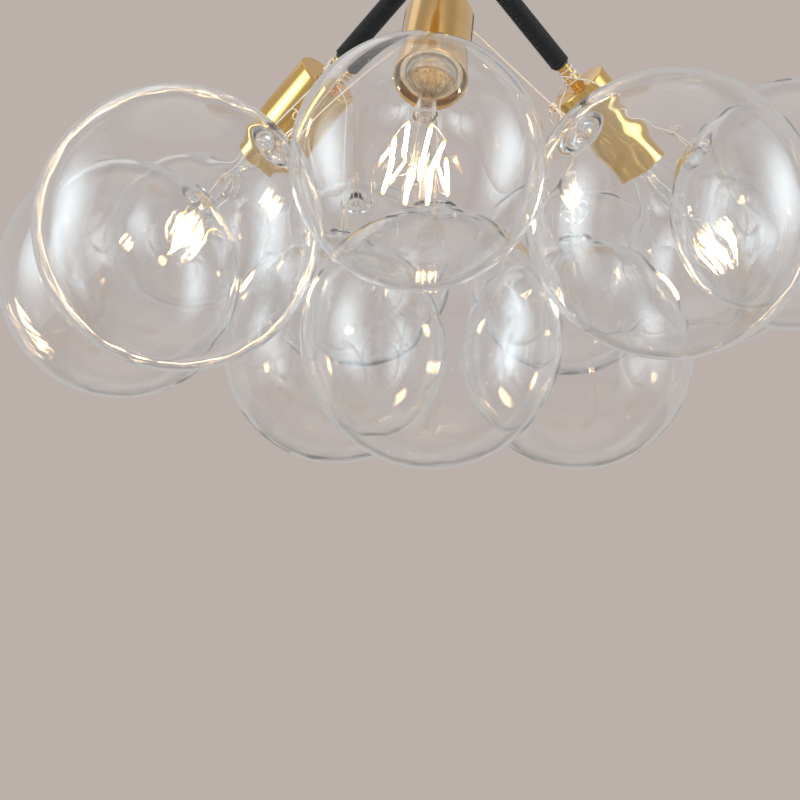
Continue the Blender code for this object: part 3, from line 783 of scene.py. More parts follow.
# Finish name: the function that wires it, then what that is told. Brass: count of turning lines
# and roughness. Glass: the rim's tint, refraction, and scale, strength and depth of its waves.
# Moulded: two tones, roughness, and scale of the grain.
FINISHES = {
    "canopy_brass": (brass, 260.0, 0.13),
    "stem_brass": (brass, 260.0, 0.13),
    "cup_brass": (brass, 260.0, 0.13),
    "screw_brass": (brass, 120.0, 0.09),
    "hub_brass": (brass, 120.0, 0.09),
    "stud_brass": (brass, 120.0, 0.09),
    "blown_glass": (clear_glass, "glass_rim", 1.50, 22.0, 0.03, 0.0010),
    "lamp_glass": (clear_glass, "lamp_rim", 1.48, 30.0, 0.02, 0.0006),
    "stem_glass": (stem_glass,),
    "glowing_bar": (glowing_bar,),
    "bright_metal": (bright_metal,),
    "zinc_steel": (zinc_steel,),
    "wound_cord": (wound_cord,),
    "clear_nylon": (nylon,),
    "stop_glass": (stop_glass,),
    "cap_cement": (cap_cement,),
    "black_pipe": (moulded, (0.030, 0.030, 0.031), (0.045, 0.045, 0.046), 0.42, 700.0),
    "glazed_porcelain": (moulded, (0.80, 0.77, 0.70), (0.72, 0.68, 0.60), 0.24, 260.0),
    "cable_sheath": (moulded, (0.78, 0.77, 0.74), (0.68, 0.67, 0.65), 0.48, 500.0),
    "white_block": (moulded, (0.84, 0.84, 0.81), (0.76, 0.76, 0.74), 0.42, 500.0),
}


# Where things are


def arm(s, lamp):
    """The turn of a lamp's arm frame, whose origin is the apex."""
    return standing(direction(*LAMP_AIMS[lamp]))


def hanging(s, name):
    """How a bubble hangs: centre, height axis, and its line's rim point, tie and sideways axes.

    All of them are in the part's frame. The line leaves the cup's top rim on the side where the
    bubble is, and the bubble's height axis points at that rim point.
    """
    lamp, azimuth, reach, drop, tie = BUBBLE_PLACES[name]
    turn = math.radians(azimuth)
    from_apex = s.spacing * np.array([reach * math.sin(turn), -reach * math.cos(turn), -drop])
    centre = s.apex + from_apex
    along = arm(s, lamp)
    local = from_apex @ along
    away = unit(np.array([local[0], local[1], 0.0]))
    side = np.array([-away[1], away[0], 0.0])
    rim = away * (s.cup_radius + s.line_room) + np.array([0, 0, s.cup_at - s.line_room])
    return SimpleNamespace(arm=along, centre=centre, tie=tie, away=along @ away,
                           side=along @ side, rim=along @ rim + s.apex,
                           up=unit(along @ (rim - local)))


# Shapes


def bubble_surface(s, waviness, seed, steps):
    """A blown bubble, its boss on the height axis.

    The profile runs from the bottom up the outside, over the boss's rounded lip, down the hole,
    and back down the inside, where the wall grows thicker towards the bottom. Both faces carry
    slow waves, and the inner one quick ones too, stronger near the boss. On the outer face they
    only sink, so it stays within the radius.
    """
    r, wall = s.bubble_radius, s.bubble_wall
    b, h, hole, under = s.boss_radius, s.boss_height, s.boss_hole, s.boss_under
    foot = 1.14 * b
    crown = flowing([
        (foot, math.sqrt(r * r - foot * foot)), (1.04 * b, r - 0.28 * h), (1.00 * b, r + 0.08 * h),
        (0.94 * b, r + 0.50 * h), (0.85 * b, r + 0.84 * h), (0.74 * b, r + h),
        (0.63 * b, r + 0.86 * h), (0.55 * b, r + 0.52 * h), (hole, r + 0.05 * h),
        (hole, under + 0.55 * h), (1.05 * hole, under + 0.15 * h), (0.60 * b, under),
        (0.85 * b, under - 0.02 * h),
        (foot, math.sqrt((r - wall) ** 2 - foot ** 2))], 5)
    outer = arc(r, 0, 180, math.degrees(math.asin(foot / r)), 80)
    inner = arc(r - wall, 0, math.degrees(math.asin(foot / (r - wall))), 180, 80)
    surface = lathe(np.concatenate([outer[:-1], crown, inner[1:]]), steps)
    points = surface["points"]
    reach = np.linalg.norm(points, axis=1, keepdims=True)
    way = points / reach
    below = 1 - way[:, 2]
    (start, step), (strength, gain, spread) = WAVES_START, QUICK_STRENGTH
    free = np.clip((below - start) / step, 0, 1)
    inside = reach[:, 0] < r - wall / 2
    slow = waves(way * r, SLOW_WAVE, seed)
    quick = waves(way * r, QUICK_WAVE, seed + QUICK_SEED)
    quick *= strength + gain * np.exp(-(below / spread) ** 2)
    wavy = waviness * np.where(inside, slow + quick, -OUTSIDE_SHARE * (slow + OUTSIDE_LEVEL)) * free
    thicker = np.where(inside, -BOTTOM_SHARE * wall * np.clip(-way[:, 2], 0, 1) ** 2, 0.0)
    surface["points"] = points + way * (thicker + wavy)[:, None]
    return surface


def lamp_surface(s, steps):
    """A globe lamp's glass in its arm's frame: sphere, flared neck and the same again inside."""
    end_angle = math.radians(BALL_END)
    slope = np.array([math.cos(end_angle), -math.sin(end_angle)])
    t = np.linspace(1, 0, 17)[:, None]
    sides = []
    for inset in (0.0, s.bulb_wall):
        neck = s.cap_bore - s.seat_gap - inset
        ball = arc(s.bulb_radius - inset, s.bulb_at, 0, BALL_END, 72)
        start, end = np.array([neck, s.mouth_at]), ball[-1]
        pull = np.linalg.norm(end - start) / 3
        one, two = start + (0, pull), end + slope * pull
        flare = ((1 - t) ** 3 * start + 3 * t * (1 - t) ** 2 * one + 3 * t ** 2 * (1 - t) * two
                 + t ** 3 * end)
        sides.append(np.concatenate([ball, flare[1:], [[neck, s.mouth_at - CAP_GRIP]]]))
    return lathe(np.concatenate([sides[0], sides[1][::-1]]), steps)


def stem_surface(s):
    """A lamp's inner glass: the flare at its foot, a hollow neck, the pinch and a hollow column.

    The profile runs up the outside from the foot, round the column's domed end and back down
    the inside to the foot. Near the pinch the section is an ellipse: its width grows and its
    depth shrinks by a bell curve of the height. A thin exhaust tube stands free inside the neck.
    """
    base, press, top, wall = s.mouth_at - CAP_GRIP, s.press_at, s.column_end, STEM_WALL
    foot = s.cap_bore - s.bulb_wall - 2 * s.seat_gap
    column = s.column_radius
    wide, waist = 1.62 * column, 1.30 * column
    outside = flowing([
        (foot, base), (0.97 * foot, base + 0.0012), (0.78 * foot, base + 0.004),
        (1.15 * waist, base + 0.009), (waist, base + 0.015), (wide, press - 0.006),
        (wide, press - 0.001), (0.86 * wide, press + 0.002), (column, press + 0.0045),
        (column, (press + top) / 2), (column, top - column)], 6)
    inside = flowing([
        (column - wall, top - column), (column - wall, press + 0.0075),
        (0.45 * column, press + 0.0045), (0.45 * column, press + 0.001),
        (0.70 * wide, press - 0.003), (waist - wall, base + 0.014),
        (1.15 * waist - wall, base + 0.009), (0.78 * foot - wall, base + 0.0028),
        (0.94 * foot - wall, base)], 6)
    dome = arc(column, top - column, 80, 0, 8)
    hollow = arc(column - wall, top - column, 0, 80, 8)
    profile = np.concatenate([outside, dome, hollow, inside])
    # Both domes end just off the axis, where the profile would otherwise close
    tips = len(outside) + len(dome)
    profile[tips - 1:tips + 1, 0] = NEAR_AXIS
    surface = lathe(profile, 48)
    x, y, z = surface["points"].T
    pinch = np.exp(-((z - press) / 0.0040) ** 2)
    surface["points"] = np.stack([x * (1 + 0.22 * pinch), y * (1 - 0.30 * pinch), z], axis=-1)
    low, high, bore = s.mouth_at - 0.0130, press - 0.008, 0.0013
    exhaust = lathe([(bore + 0.0005, low), (bore + 0.0005, high), (bore, high), (bore, low)], 32)
    return joined([surface, exhaust])


def bar_ends(s):
    """Both ends of the glowing bars, near the cap and away from it."""
    turns, low, high = np.array(LAMP_BARS).T
    ring = np.stack([np.cos(np.radians(turns)), np.sin(np.radians(turns))], axis=-1)
    ring = ring * s.cage_radius
    ends = []
    for share, side in ((low, -1), (high, 1)):
        height = np.full((len(turns), 1), s.bulb_at + side * s.filament_length / 2)
        ends.append(np.concatenate([ring * share[:, None], height], axis=1))
    return ends


def bars_surface(s):
    """The thin round glowing bars, with domed ends."""
    t = np.linspace(0, 1, 15)[:, None]
    swell = s.bar_radius * np.sqrt(np.clip(1 - (2 * t[:, 0] - 1) ** 12, 0.04, 1))
    return joined([tube(a + (b - a) * t, swell, 12) for a, b in zip(*bar_ends(s))])


def wires_surface(s):
    """The wires that carry the bars.

    Bows join the bars in turn at their tips and at their feet, spokes run from the column's
    domed end to every second tip, and two stouter leads run from the pinch to the feet. Two more
    run up inside the neck, from the flare to the pinch.
    """
    starts, ends = bar_ends(s)
    last = len(LAMP_BARS) - 1
    press = s.press_at
    wires = []
    for k, (a, b) in enumerate(zip(starts, ends)):
        out = unit(np.array([a[0], a[1], 0.0]))
        row, bow = (ends, 0.0016) if k % 2 == 0 else (starts, -0.0016)
        if k < last:
            middle = (row[k] + row[k + 1]) / 2 + (0, 0, bow)
            wires.append(([row[k], middle, row[k + 1]], 5, 0.00022))
        if k % 2 == 0:
            root = out * (s.column_radius + 0.0001) + (0, 0, s.column_end - s.column_radius)
            wires.append(([root, (root + b) / 2 + (0, 0, 0.0030), b], 6, 0.00020))
        if k in (0, last):
            root = out * 1.9 * s.column_radius + (0, 0, press)
            knee = out * 2.6 * s.column_radius + (0, 0, (press + a[2]) / 2)
            wires.append(([root, knee, a], 8, 0.00030))
    for side in (-1, 1):
        wires.append(([(side * 0.0030, 0, s.mouth_at - 0.002), (side * 0.0029, 0, s.mouth_at + 0.008),
                       (side * 0.0026, 0, press - 0.006), (side * 0.0020, 0, press + 0.0005)],
                      6, 0.00025))
    return joined([tube(flowing(points, steps), radius, 6) for points, steps, radius in wires])


def cement_surface(s):
    """The cream cement in a cap, round the lamp's exhaust hole: a bowl under the glass flare."""
    inner = s.cap_bore - s.seat_gap
    low, high, lip = s.mouth_at - s.cap_length + 0.0080, s.mouth_at - 0.0105, 0.0022
    profile = flowing([(0.0, high - 0.004), (0.8 * lip, high - 0.0038), (lip, high - 0.0012),
                       (1.6 * lip, high), (3.4 * lip, high + 0.0004), (0.9 * inner, high + 0.0016),
                       (0.97 * inner, high + 0.0050)], 4)
    profile = np.concatenate([profile, [[inner, high + 0.0050], [inner, low], [0.0, low]]])
    profile[0, 0] = 0
    return lathe(profile, 48)


def cap_surface(s):
    """A screw cap: radius mean + depth sin(turn - height / pitch), smoothed at both ends."""
    pitch, depth, fade_length, steps = 0.0036, 0.00045, 0.0015, 72
    tip, mouth, inner = s.mouth_at - s.cap_length, s.mouth_at, s.cap_bore
    low, high = tip + 0.008, mouth - 0.0035
    angle = np.arange(steps) * math.tau / steps
    height = np.linspace(low, high, 56)[:, None]
    fade = np.clip(np.minimum(height - low, high - height) / fade_length, 0, 1)
    mean = s.cap_radius - depth - 0.0001
    radius = mean + depth * fade * np.sin(angle - height * math.tau / pitch)
    thread = np.stack([radius * np.cos(angle), radius * np.sin(angle),
                       np.broadcast_to(height, radius.shape)], axis=-1)
    head = rounded([(0.0046, tip), (0.0052, tip + 0.0012), (0.0052, tip + 0.0032),
                    (mean - 0.002, tip + 0.0068), (mean, tip + 0.0076)], 0.0005)
    tail = rounded([(mean, high + 0.0003), (s.cap_radius, high + 0.0012), (s.cap_radius, mouth),
                    (inner, mouth), (inner, tip + 0.009), (0.0045, tip + 0.0075),
                    (0.0, tip + 0.0075)], 0.0003)
    points = np.concatenate([ringed(head, steps), thread, ringed(tail[:-1], steps)])
    return capped(grid(points), steps, (0, 0, tip), (0, 0, tip + 0.0075))


def cup_surface(s):
    """A lamp's brass cup: a drawn tube with a closed top, a hole for the stud and soft edges."""
    hole, wide, inner = s.stud_radius + s.seat_gap, s.cup_radius, s.cup_radius - s.cup_wall
    top, under, mouth = s.cup_at, s.cup_at + s.cup_wall, s.mouth_at
    return turned([(hole, top + EDGE_LIFT), (wide, top), (wide, mouth), (inner, mouth),
                   (inner, under), (hole, under)], [0.0011, 0.0004, 0.0004, 0.0006, 0.0002],
                  8, 128, start=(hole, top))


def holder_surface(s):
    """The moulded lampholder inside a cup, with a groove round its open end."""
    at, end = s.holder_at, s.mouth_at - HOLDER_SETBACK
    floor_at = s.mouth_at - s.cap_length - s.seat_gap - HOLDER_FLOOR
    hole, socket = s.stud_radius + s.seat_gap, s.cap_radius + SOCKET_ROOM
    outer, chamber = socket + HOLDER_WALL, socket - HOLDER_WALL
    return turned([
        (hole, at), (outer, at), (outer, end - 0.009), (outer - 0.0007, end - 0.0085),
        (outer - 0.0007, end - 0.0065), (outer, end - 0.006), (outer, end), (socket, end),
        (socket, floor_at + HOLDER_FLOOR), (HOLDER_HOLE, floor_at + HOLDER_FLOOR),
        (HOLDER_HOLE, floor_at), (chamber, floor_at), (chamber, at + HOLDER_BASE),
        (hole, at + HOLDER_BASE)], 0.0005, 3, 72)


def tube_wall(bore, radius, low, high, soft):
    """A plain tube along the height axis, its edges softened."""
    return turned([(bore, low), (radius, low), (radius, high), (bore, high)], soft, 3, 64)


def cord_surface(s):
    """The cord wound on an arm, its turns side by side and its ends thinned and drawn in.

    The path is (reach cos a, reach sin a, height), with the height growing a pitch a turn.
    """
    half = s.cord_diameter / 2
    low = s.wrap_start + half + CORD_END_ROOM
    high = s.wrap_end - half - s.seat_gap - CORD_END_ROOM
    turns = math.floor((high - low) / (s.cord_diameter * CORD_PITCH_SHARE))
    t = np.linspace(0, 1, turns * CORD_TURN_POINTS + 1)
    end = np.clip(np.minimum(t, 1 - t) * turns / CORD_END_TURNS, CORD_END_SHARE, 1)
    angle = t * turns * math.tau
    reach = s.arm_radius + s.seat_gap / 2 + half * end
    path = np.stack([reach * np.cos(angle), reach * np.sin(angle), low + (high - low) * t], axis=-1)
    return tube(path, half * end, 8)


def screw_surface(s, inner, sign):
    """A canopy screw, lying level with its head outside the canopy, whose inner radius is given.

    For the knurl, the head's rim is cut in by depth (1 - cos(grooves a)), with a round its axis.
    """
    rim, depth, grooves = 0.0046, 0.00022, 24
    out, head = s.canopy_radius + s.seat_gap, SCREW_HEAD
    tip = (math.sqrt(inner ** 2 - (BAR_WIDTH / 2) ** 2) - BAR_END_ROOM - BAR_THICKNESS
           - SCREW_GRIP)
    surface = lathe(rounded([(0.0, tip), (SCREW_RADIUS, tip), (SCREW_RADIUS, out), (head, out),
                             (head, out + head), (0.0, out + head)],
                            [0, 0.0003, 0.0003, 0.0006, 0.0009, 0], 5), 144)
    x, y, z = surface["points"].T
    radius = np.hypot(x, y)
    cut = depth * (1 - np.cos(grooves * np.arctan2(y, x))) * (radius > rim)
    share = 1 - cut / np.maximum(radius, ON_AXIS)
    return {**surface, "points": np.stack([z * sign, y * share, -x * share - SCREW_DROP], axis=-1)}


def winding(s, hung):
    """A line's turns round its stud, in the part's frame.

    They are reach (cos a side + sin a away), rising by a pitch a turn. The last point is where a
    straight line to the cup's rim is a tangent, at a = a full turn + asin(reach / rim reach).
    Over the last WINDING_LEAN radians the rise grows steadily to that of the straight line.
    """
    reach, rim_reach = s.stud_radius + s.line_room, s.cup_radius + s.line_room
    leave = math.asin(reach / rim_reach)
    free = math.sqrt(rim_reach ** 2 - reach ** 2)
    last = math.tau + leave
    flat = WINDING_PITCH_SHARE * s.line_diameter / math.tau
    tie_at = s.wrap_end + hung.tie * s.stud_show
    climb = s.cup_at - s.line_room - tie_at - flat * leave
    steep = (climb + flat * WINDING_LEAN / 2) / (free / reach + WINDING_LEAN / 2)
    angle = np.linspace(math.radians(WINDING_START), last, 72)[:, None]
    over = np.clip(angle - last + WINDING_LEAN, 0, None)
    height = (tie_at + flat * (angle - math.tau)
              + (steep - flat) * over ** 2 / (2 * WINDING_LEAN))
    return (s.apex + hung.arm[:, 2] * height
            + reach * (np.cos(angle) * hung.side + np.sin(angle) * hung.away))


def line_path(s, hung):
    """A bubble's line, from its tie to its knot, and the points and directions of the knot.

    It winds about one and a half times round the stud, leaves it at a tangent, bends over the cup's
    rim and runs straight to the knot. From there it goes on as a narrow loop of two strands: down
    through the boss, in a half circle round the bar of the stop disc, and back up to the knot.
    The strands spread in two smooth steps, one at the knot and one below it.
    """
    normal = unit(np.cross(hung.up, hung.side))
    binormal = np.cross(hung.up, normal)
    knot_at = s.bubble_radius + s.boss_height + KNOT_HEIGHT
    beside, wide = 1.3 * s.line_diameter / 2, LINE_TURN_SHARE * s.line_diameter
    bar_at = s.stop_top - s.stop_height / 2

    def hang(sideways, height):
        return hung.centre + hung.up * height + normal * sideways

    def step(share):
        share = np.clip(share, 0, 1)
        return share * share * (3 - 2 * share)

    def strand(side, first, last):
        height = np.linspace(first, last, 36)[:, None]
        apart = (beside * step((knot_at + KNOT_LENGTH - height) / KNOT_LENGTH)
                 + (wide - beside) * step((knot_at - height) / SPREAD_LENGTH))
        return hang(side * apart, height)

    wound = winding(s, hung)
    over = rounded([wound[-1], hung.rim, hang(0, knot_at + KNOT_LENGTH)], 0.004, 10)
    under = np.linspace(math.pi, math.tau, 14)[1:-1, None]
    turn = hang(wide * np.cos(under), bar_at + wide * np.sin(under))
    path = np.concatenate([wound[:-1], over[:-1], strand(-1, knot_at + KNOT_LENGTH, bar_at), turn,
                           strand(1, bar_at, knot_at + 0.001)])
    return path, hang(0, knot_at), normal, binormal


def knot_surface(s, hung, place, normal, binormal):
    """The knot of a line: four tight turns, a small open curl and the loose end."""
    half = s.line_diameter / 2
    turn = np.linspace(0, 4 * math.tau, 73)[:, None]
    climb = hung.up * (turn / math.tau * 1.02 * s.line_diameter)
    coil = place + climb + 3.2 * half * (np.cos(turn) * normal + np.sin(turn) * binormal)
    tail = coil[-1] + np.array(KNOT_TAIL) / 1000 @ np.array([binormal, hung.up, normal])
    return tube(np.concatenate([coil[:-1], flowing(tail, 6)]), 0.72 * half, 8)


def stop_surface(s, hung, binormal):
    """The clear stop under the boss: a disc with a raised rim round its hole, and a bar across it.

    The line's two strands pass the hole on either side of the bar.
    """
    r, h, top = s.stop_radius, s.stop_height, s.stop_top
    wide, room = LINE_TURN_SHARE * s.line_diameter, s.line_diameter / 2 + 0.0001
    hole, bar = wide + room, wide - room
    disc = turned([
        (hole, top - 0.5 * h), (hole, top + 0.2 * h), (1.5 * hole, top + 0.2 * h), (1.8 * hole, top),
        (r, top), (r, top - h), (hole, top - h)],
        [0.0003, 0.0004, 0.0006, 0.0007, 0.0007, 0.0004], 5, 56)
    disc = outward(moved(disc, standing(hung.up), hung.centre))
    middle = hung.centre + hung.up * (top - h / 2)
    across = np.linspace(-1, 1, 9)[:, None] * (hole + 0.0004)
    return joined([disc, outward(tube(middle + binormal * across, bar, 24))])


# Operators: one for each group of like pieces, and one for the stage


class CHANDELIER_OT_canopy(bpy.types.Operator):
    """Build the ceiling canopy and its knurled screws, and finish the fittings inside it."""

    bl_idname = "chandelier.canopy"
    bl_label = "Canopy"

    def execute(self, context):
        s = sizes()
        low, high = -CANOPY_DROP - s.canopy_height, -CANOPY_DROP
        hole, radius, inner = NIPPLE_RADIUS + s.seat_gap, s.canopy_radius, s.canopy_radius - s.cup_wall
        shell = turned([(hole, low + EDGE_LIFT), (0.6 * radius, low), (radius, low), (radius, high),
                        (inner, high), (inner, low + s.cup_wall), (hole, low + s.cup_wall)],
                       [0.02, 0.0022, 0.0005, 0.0003, 0.0012, 0.0002], 9, 192, start=(hole, low))
        piece("ceiling_canopy", shell, "canopy_brass", "frame", ["canopy"])
        for side, sign in SIDES.items():
            piece(f"knurled_screw_{side}", screw_surface(s, inner, sign), "screw_brass", "frame",
                  [f"canopy_screw_{side}"])
        refinish("mounting_bar", "zinc_steel")
        refinish("stem_nut", "zinc_steel")
        refinish("terminal_block", "white_block")
        refinish("stem_lead", "cable_sheath")
        return {"FINISHED"}


class CHANDELIER_OT_stem(bpy.types.Operator):
    """Build the stem with its collar and the hub ball that holds the arms."""

    bl_idname = "chandelier.stem"
    bl_label = "Stem and hub"

    def execute(self, context):
        s = sizes()
        step = -CANOPY_DROP - s.canopy_height - s.seat_gap
        low, under = step - s.stem_length, step - COLLAR_HEIGHT
        top = step + s.seat_gap + s.cup_wall + NIPPLE_SHOW
        stem = turned([
            (STEM_BORE, low), (s.stem_radius, low), (s.stem_radius, under - 0.0015), (0.0085, under),
            (COLLAR_RADIUS, under + 0.0012), (COLLAR_RADIUS, step), (NIPPLE_RADIUS, step),
            (NIPPLE_RADIUS, top), (STEM_BORE, top)],
            [0.0004, 0.0012, 0.0012, 0.0012, 0.0006, 0.0002, 0.0004, 0.0002], 6, 96)
        piece("stem_pipe", stem, "stem_brass", "frame", ["stem_tube"])
        seat = s.hub_radius - HUB_SEAT - s.seat_gap
        ball = arc(s.hub_radius, 0, HUB_OPENING, 180, 60)
        ball[-1, 0] = 0
        profile = np.concatenate([[[0, seat], [s.stem_radius + s.seat_gap, seat]], ball])
        hub = moved(lathe(profile, 96), np.eye(3), s.apex)
        piece("hub_ball", hub, "hub_brass", "frame", ["hub"])
        return {"FINISHED"}


class CHANDELIER_OT_arms(bpy.types.Operator):
    """Build each arm's black pipe, its wound cord and its brass stud, and finish its lead."""

    bl_idname = "chandelier.arms"
    bl_label = "Arms"

    def execute(self, context):
        s = sizes()
        pipe = tube_wall(s.arm_radius - s.arm_wall, s.arm_radius, s.hub_radius - HUB_SEAT, s.wrap_end,
                         0.0002)
        stud = tube_wall(STUD_BORE, s.stud_radius, s.wrap_end - STUD_SOCKET,
                         s.holder_at + HOLDER_BASE - s.seat_gap, 0.0003)
        rows = (("arm_pipe", pipe, "black_pipe", "black_tube", "arm_tube"),
                ("wound_cord", cord_surface(s), "wound_cord", "wrap_cord", "arm_wrap"),
                ("brass_stud", stud, "stud_brass", "brass_thread", "arm_stud"))
        for lamp in LAMP_AIMS:
            arm_pieces(s, lamp, "frame", rows)
            refinish(f"arm_lead_{lamp}", "cable_sheath")
        return {"FINISHED"}


class CHANDELIER_OT_cups(bpy.types.Operator):
    """Build each lamp's brass cup and lampholder, and finish the nut between them."""

    bl_idname = "chandelier.cups"
    bl_label = "Cups and lampholders"

    def execute(self, context):
        s = sizes()
        rows = (("brass_cup", cup_surface(s), "cup_brass", "brass", "lamp_cup"),
                ("lamp_socket", holder_surface(s), "glazed_porcelain", "porcelain", "lampholder"))
        for lamp in LAMP_AIMS:
            arm_pieces(s, lamp, "frame", rows)
            refinish(f"lock_nut_{lamp}", "zinc_steel")
        return {"FINISHED"}


class CHANDELIER_OT_lamps(bpy.types.Operator):
    """Build the three globe lamps: glass, inner stem, glowing bars, their wires and the cap."""

    bl_idname = "chandelier.lamps"
    bl_label = "Globe lamps"

    def execute(self, context):
        s = sizes()
        rows = (("globe_glass", lamp_surface(s, 112), "lamp_glass", "bulb_glass", "bulb_glass"),
                ("glass_stem", stem_surface(s), "stem_glass", "stem_glass", "bulb_stem"),
                ("glowing_bars", bars_surface(s), "glowing_bar", "filament", "bulb_filament"),
                ("bar_wires", wires_surface(s), "bright_metal", "nickel"),
                ("cap_cement", cement_surface(s), "cap_cement", "porcelain"),
                ("screw_cap", cap_surface(s), "bright_metal", "nickel", "bulb_cap"))
        for lamp in LAMP_AIMS:
            for made in arm_pieces(s, lamp, f"lamp_{lamp}", rows):
                made.visible_diffuse = not made.name.startswith("glowing_bars")
        return {"FINISHED"}


class CHANDELIER_OT_bubbles(bpy.types.Operator):
    """Build the nine clear bubbles."""

    bl_idname = "chandelier.bubbles"
    bl_label = "Clear bubbles"

    def execute(self, context):
        s = sizes()
        wave = context.scene.chandelier_finishes.wave
        steps = context.scene.chandelier_studio.steps
        for seed, name in enumerate(BUBBLE_PLACES):
            hung = hanging(s, name)
            surface = moved(bubble_surface(s, wave, seed, steps), standing(hung.up), hung.centre)
            piece(f"clear_bubble_{name}", surface, "blown_glass", f"drop_{name}",
                  [f"bubble_{name}"])
        return {"FINISHED"}


class CHANDELIER_OT_lines(bpy.types.Operator):
    """Build the nine nylon lines with their knots and stop discs."""

    bl_idname = "chandelier.lines"
    bl_label = "Nylon lines"

    def execute(self, context):
        s = sizes()
        for name in BUBBLE_PLACES:
            hung = hanging(s, name)
            body = f"drop_{name}"
            path, place, normal, binormal = line_path(s, hung)
            line = piece(f"nylon_line_{name}", tube(path, s.line_diameter / 2, 10), "clear_nylon",
                         body, [f"line_{name}"])
            knot = piece(f"line_knot_{name}", knot_surface(s, hung, place, normal, binormal),
                         "clear_nylon", body)
            stop = piece(f"stop_disc_{name}", stop_surface(s, hung, binormal), "stop_glass", body)
        return {"FINISHED"}


class CHANDELIER_OT_stage(bpy.types.Operator):
    """Build the floor, the studio round the chandelier, the lights and the camera."""

    bl_idname = "chandelier.stage"
    bl_label = "Stage"

    def execute(self, context):
        own = context.scene.chandelier_studio
        studio_world(own)
        floor_disc(own)
        for side, sign in SIDES.items():
            softbox(own, f"{side}_softbox", sign)
        for name, (place, size, power) in AREA_LIGHTS.items():
            light = bpy.data.lights.new(name, "AREA")
            light.shape = "RECTANGLE"
            light.size, light.size_y = size
            light.energy = power
            aim = Vector(LIGHTS_AIM) - Vector(place)
            unseen_light(name, light, place).rotation_euler = aim.to_track_quat("-Z", "Y").to_euler()
        lamp_lights(sizes(), context.scene.chandelier_finishes)
        lens = bpy.data.cameras.new("photo_camera")
        lens.sensor_width = SENSOR_WIDTH
        lens.lens = FOCAL_PIXELS / PHOTO_PIXELS * SENSOR_WIDTH
        lens.clip_start = 0.01
        camera = linked("photo_camera", lens)
        camera.location = CAMERA_PLACE
        camera.rotation_euler = (math.radians(90), 0, 0)
        context.scene.camera = camera
        context.scene.view_settings.view_transform = "Standard"
        paths = context.scene.cycles
        paths.max_bounces = 48
        paths.transmission_bounces = 48
        paths.glossy_bounces = 16
        paths.sample_clamp_indirect = 40.0
        return {"FINISHED"}


def unseen_light(name, light, place):
    """Link a light that shines on things but isn't seen, mirrored or refracted itself."""
    made = linked(name, light)
    made.location = place
    made.visible_camera = False
    made.visible_glossy = False
    made.visible_transmission = False
    return made


def lamp_lights(s, finishes):
    """A point light in each lamp, with the power that its glowing bars' surface gives off.

    A surface of radiance L and area A gives off pi L A.
    """
    bars_area = len(LAMP_BARS) * math.tau * s.bar_radius * s.filament_length
    for lamp in LAMP_AIMS:
        light = bpy.data.lights.new(f"lamp_light_{lamp}", "POINT")
        light.color = finishes.glow
        light.energy = math.pi * finishes.glow_strength * bars_area
        light.shadow_soft_size = s.cage_radius
        light.use_shadow = False
        unseen_light(light.name, light, s.apex + arm(s, lamp)[:, 2] * s.bulb_at)


def flat_share(w):
    """1 for rays that see straight out or only through glass, 0 once they have been mirrored."""
    path = w.node("ShaderNodeLightPath")
    unmirrored = path.out("Glossy Depth").maths("LESS_THAN", 0.5)
    clean = unmirrored * path.out("Diffuse Depth").maths("LESS_THAN", 0.5)
    through = path.out("Is Transmission Ray") * clean
    return path.out("Is Camera Ray").maths("MAXIMUM", through)


def studio_world(own):
    """The studio: a flat backdrop for straight views, and for mirrored ones a grey room.

    The room has a dark flag beside each softbox, a window behind and a paler ceiling. Angles are
    in degrees, and azimuth runs from -Y round to +Y.
    """
    world = bpy.data.worlds.new("studio")
    bpy.context.scene.world = world
    w = Wiring(world)
    way = w.split(w.node("ShaderNodeTexCoord").out("Generated"))
    turn = way.out("X").maths("ARCTAN2", way.out("Y") * -1) * (180 / math.pi)
    azimuth = turn.maths("ABSOLUTE")
    height = way.out("Z").maths("ARCSINE") * (180 / math.pi)
    flags = azimuth.band(50, 58, 2.0) * height.band(-24, 40, 4)
    window = turn.band(-172, -132, 1.0) * height.band(32, 45, 1.0)
    behind = azimuth.smooth(95, 125)
    front = azimuth.smooth(20, 60) * 0.10 + 0.95
    ceiling = height.smooth(60, 70) * 0.55 - height.band(46, 60, 5) * behind * 0.25 + 1
    low = height.smooth(-50, -12) * 0.2 + 0.8
    level = front * ceiling * low * own.room * (1 - flags * 0.6) + window * 0.35
    tone = w.mix(behind, (0.96, 0.99, 1.02), (1.03, 0.98, 0.95))
    shown = w.mix(flat_share(w), w.times(tone, level), own.backdrop)
    background = w.node("ShaderNodeBackground", {"Color": shown, "Strength": 1.0})
    w.node("ShaderNodeOutputWorld", {"Surface": background})


def softbox(own, name, side):
    """A tall upright sheet beside the chandelier that straight views don't show.

    Its brightness is a base plus the softbox's own times exp(-(y / a) ** 2) exp(-(z / b) ** 2),
    with y and z counted from its hot spot.
    """
    (y, z), (hot_y, hot_z), (wide, tall) = SOFTBOX_MIDDLE, SOFTBOX_HOT, SOFTBOX_SPREAD
    across = y + np.array([-0.5, 0.5]) * own.softbox_width
    up = z + np.array([-0.5, 0.5]) * own.softbox_height
    row, column = np.meshgrid(up, across, indexing="ij")
    points = np.stack([np.full((2, 2), side * own.softbox_reach), column, row], axis=-1)
    sheet = linked(name, mesh_of(name, grid(points, loop_columns=False)))
    material, w = new_finish(name)
    place = w.split(w.place())
    hot = place.out("Y").bell(hot_y, wide) * place.out("Z").bell(hot_z, tall)
    glow = w.emit(w.times(own.softbox_tone, hot * own.softbox + SOFTBOX_BASE))
    w.show(w.either(flat_share(w), glow, w.node("ShaderNodeBsdfTransparent")))
    sheet.data.materials.append(material)


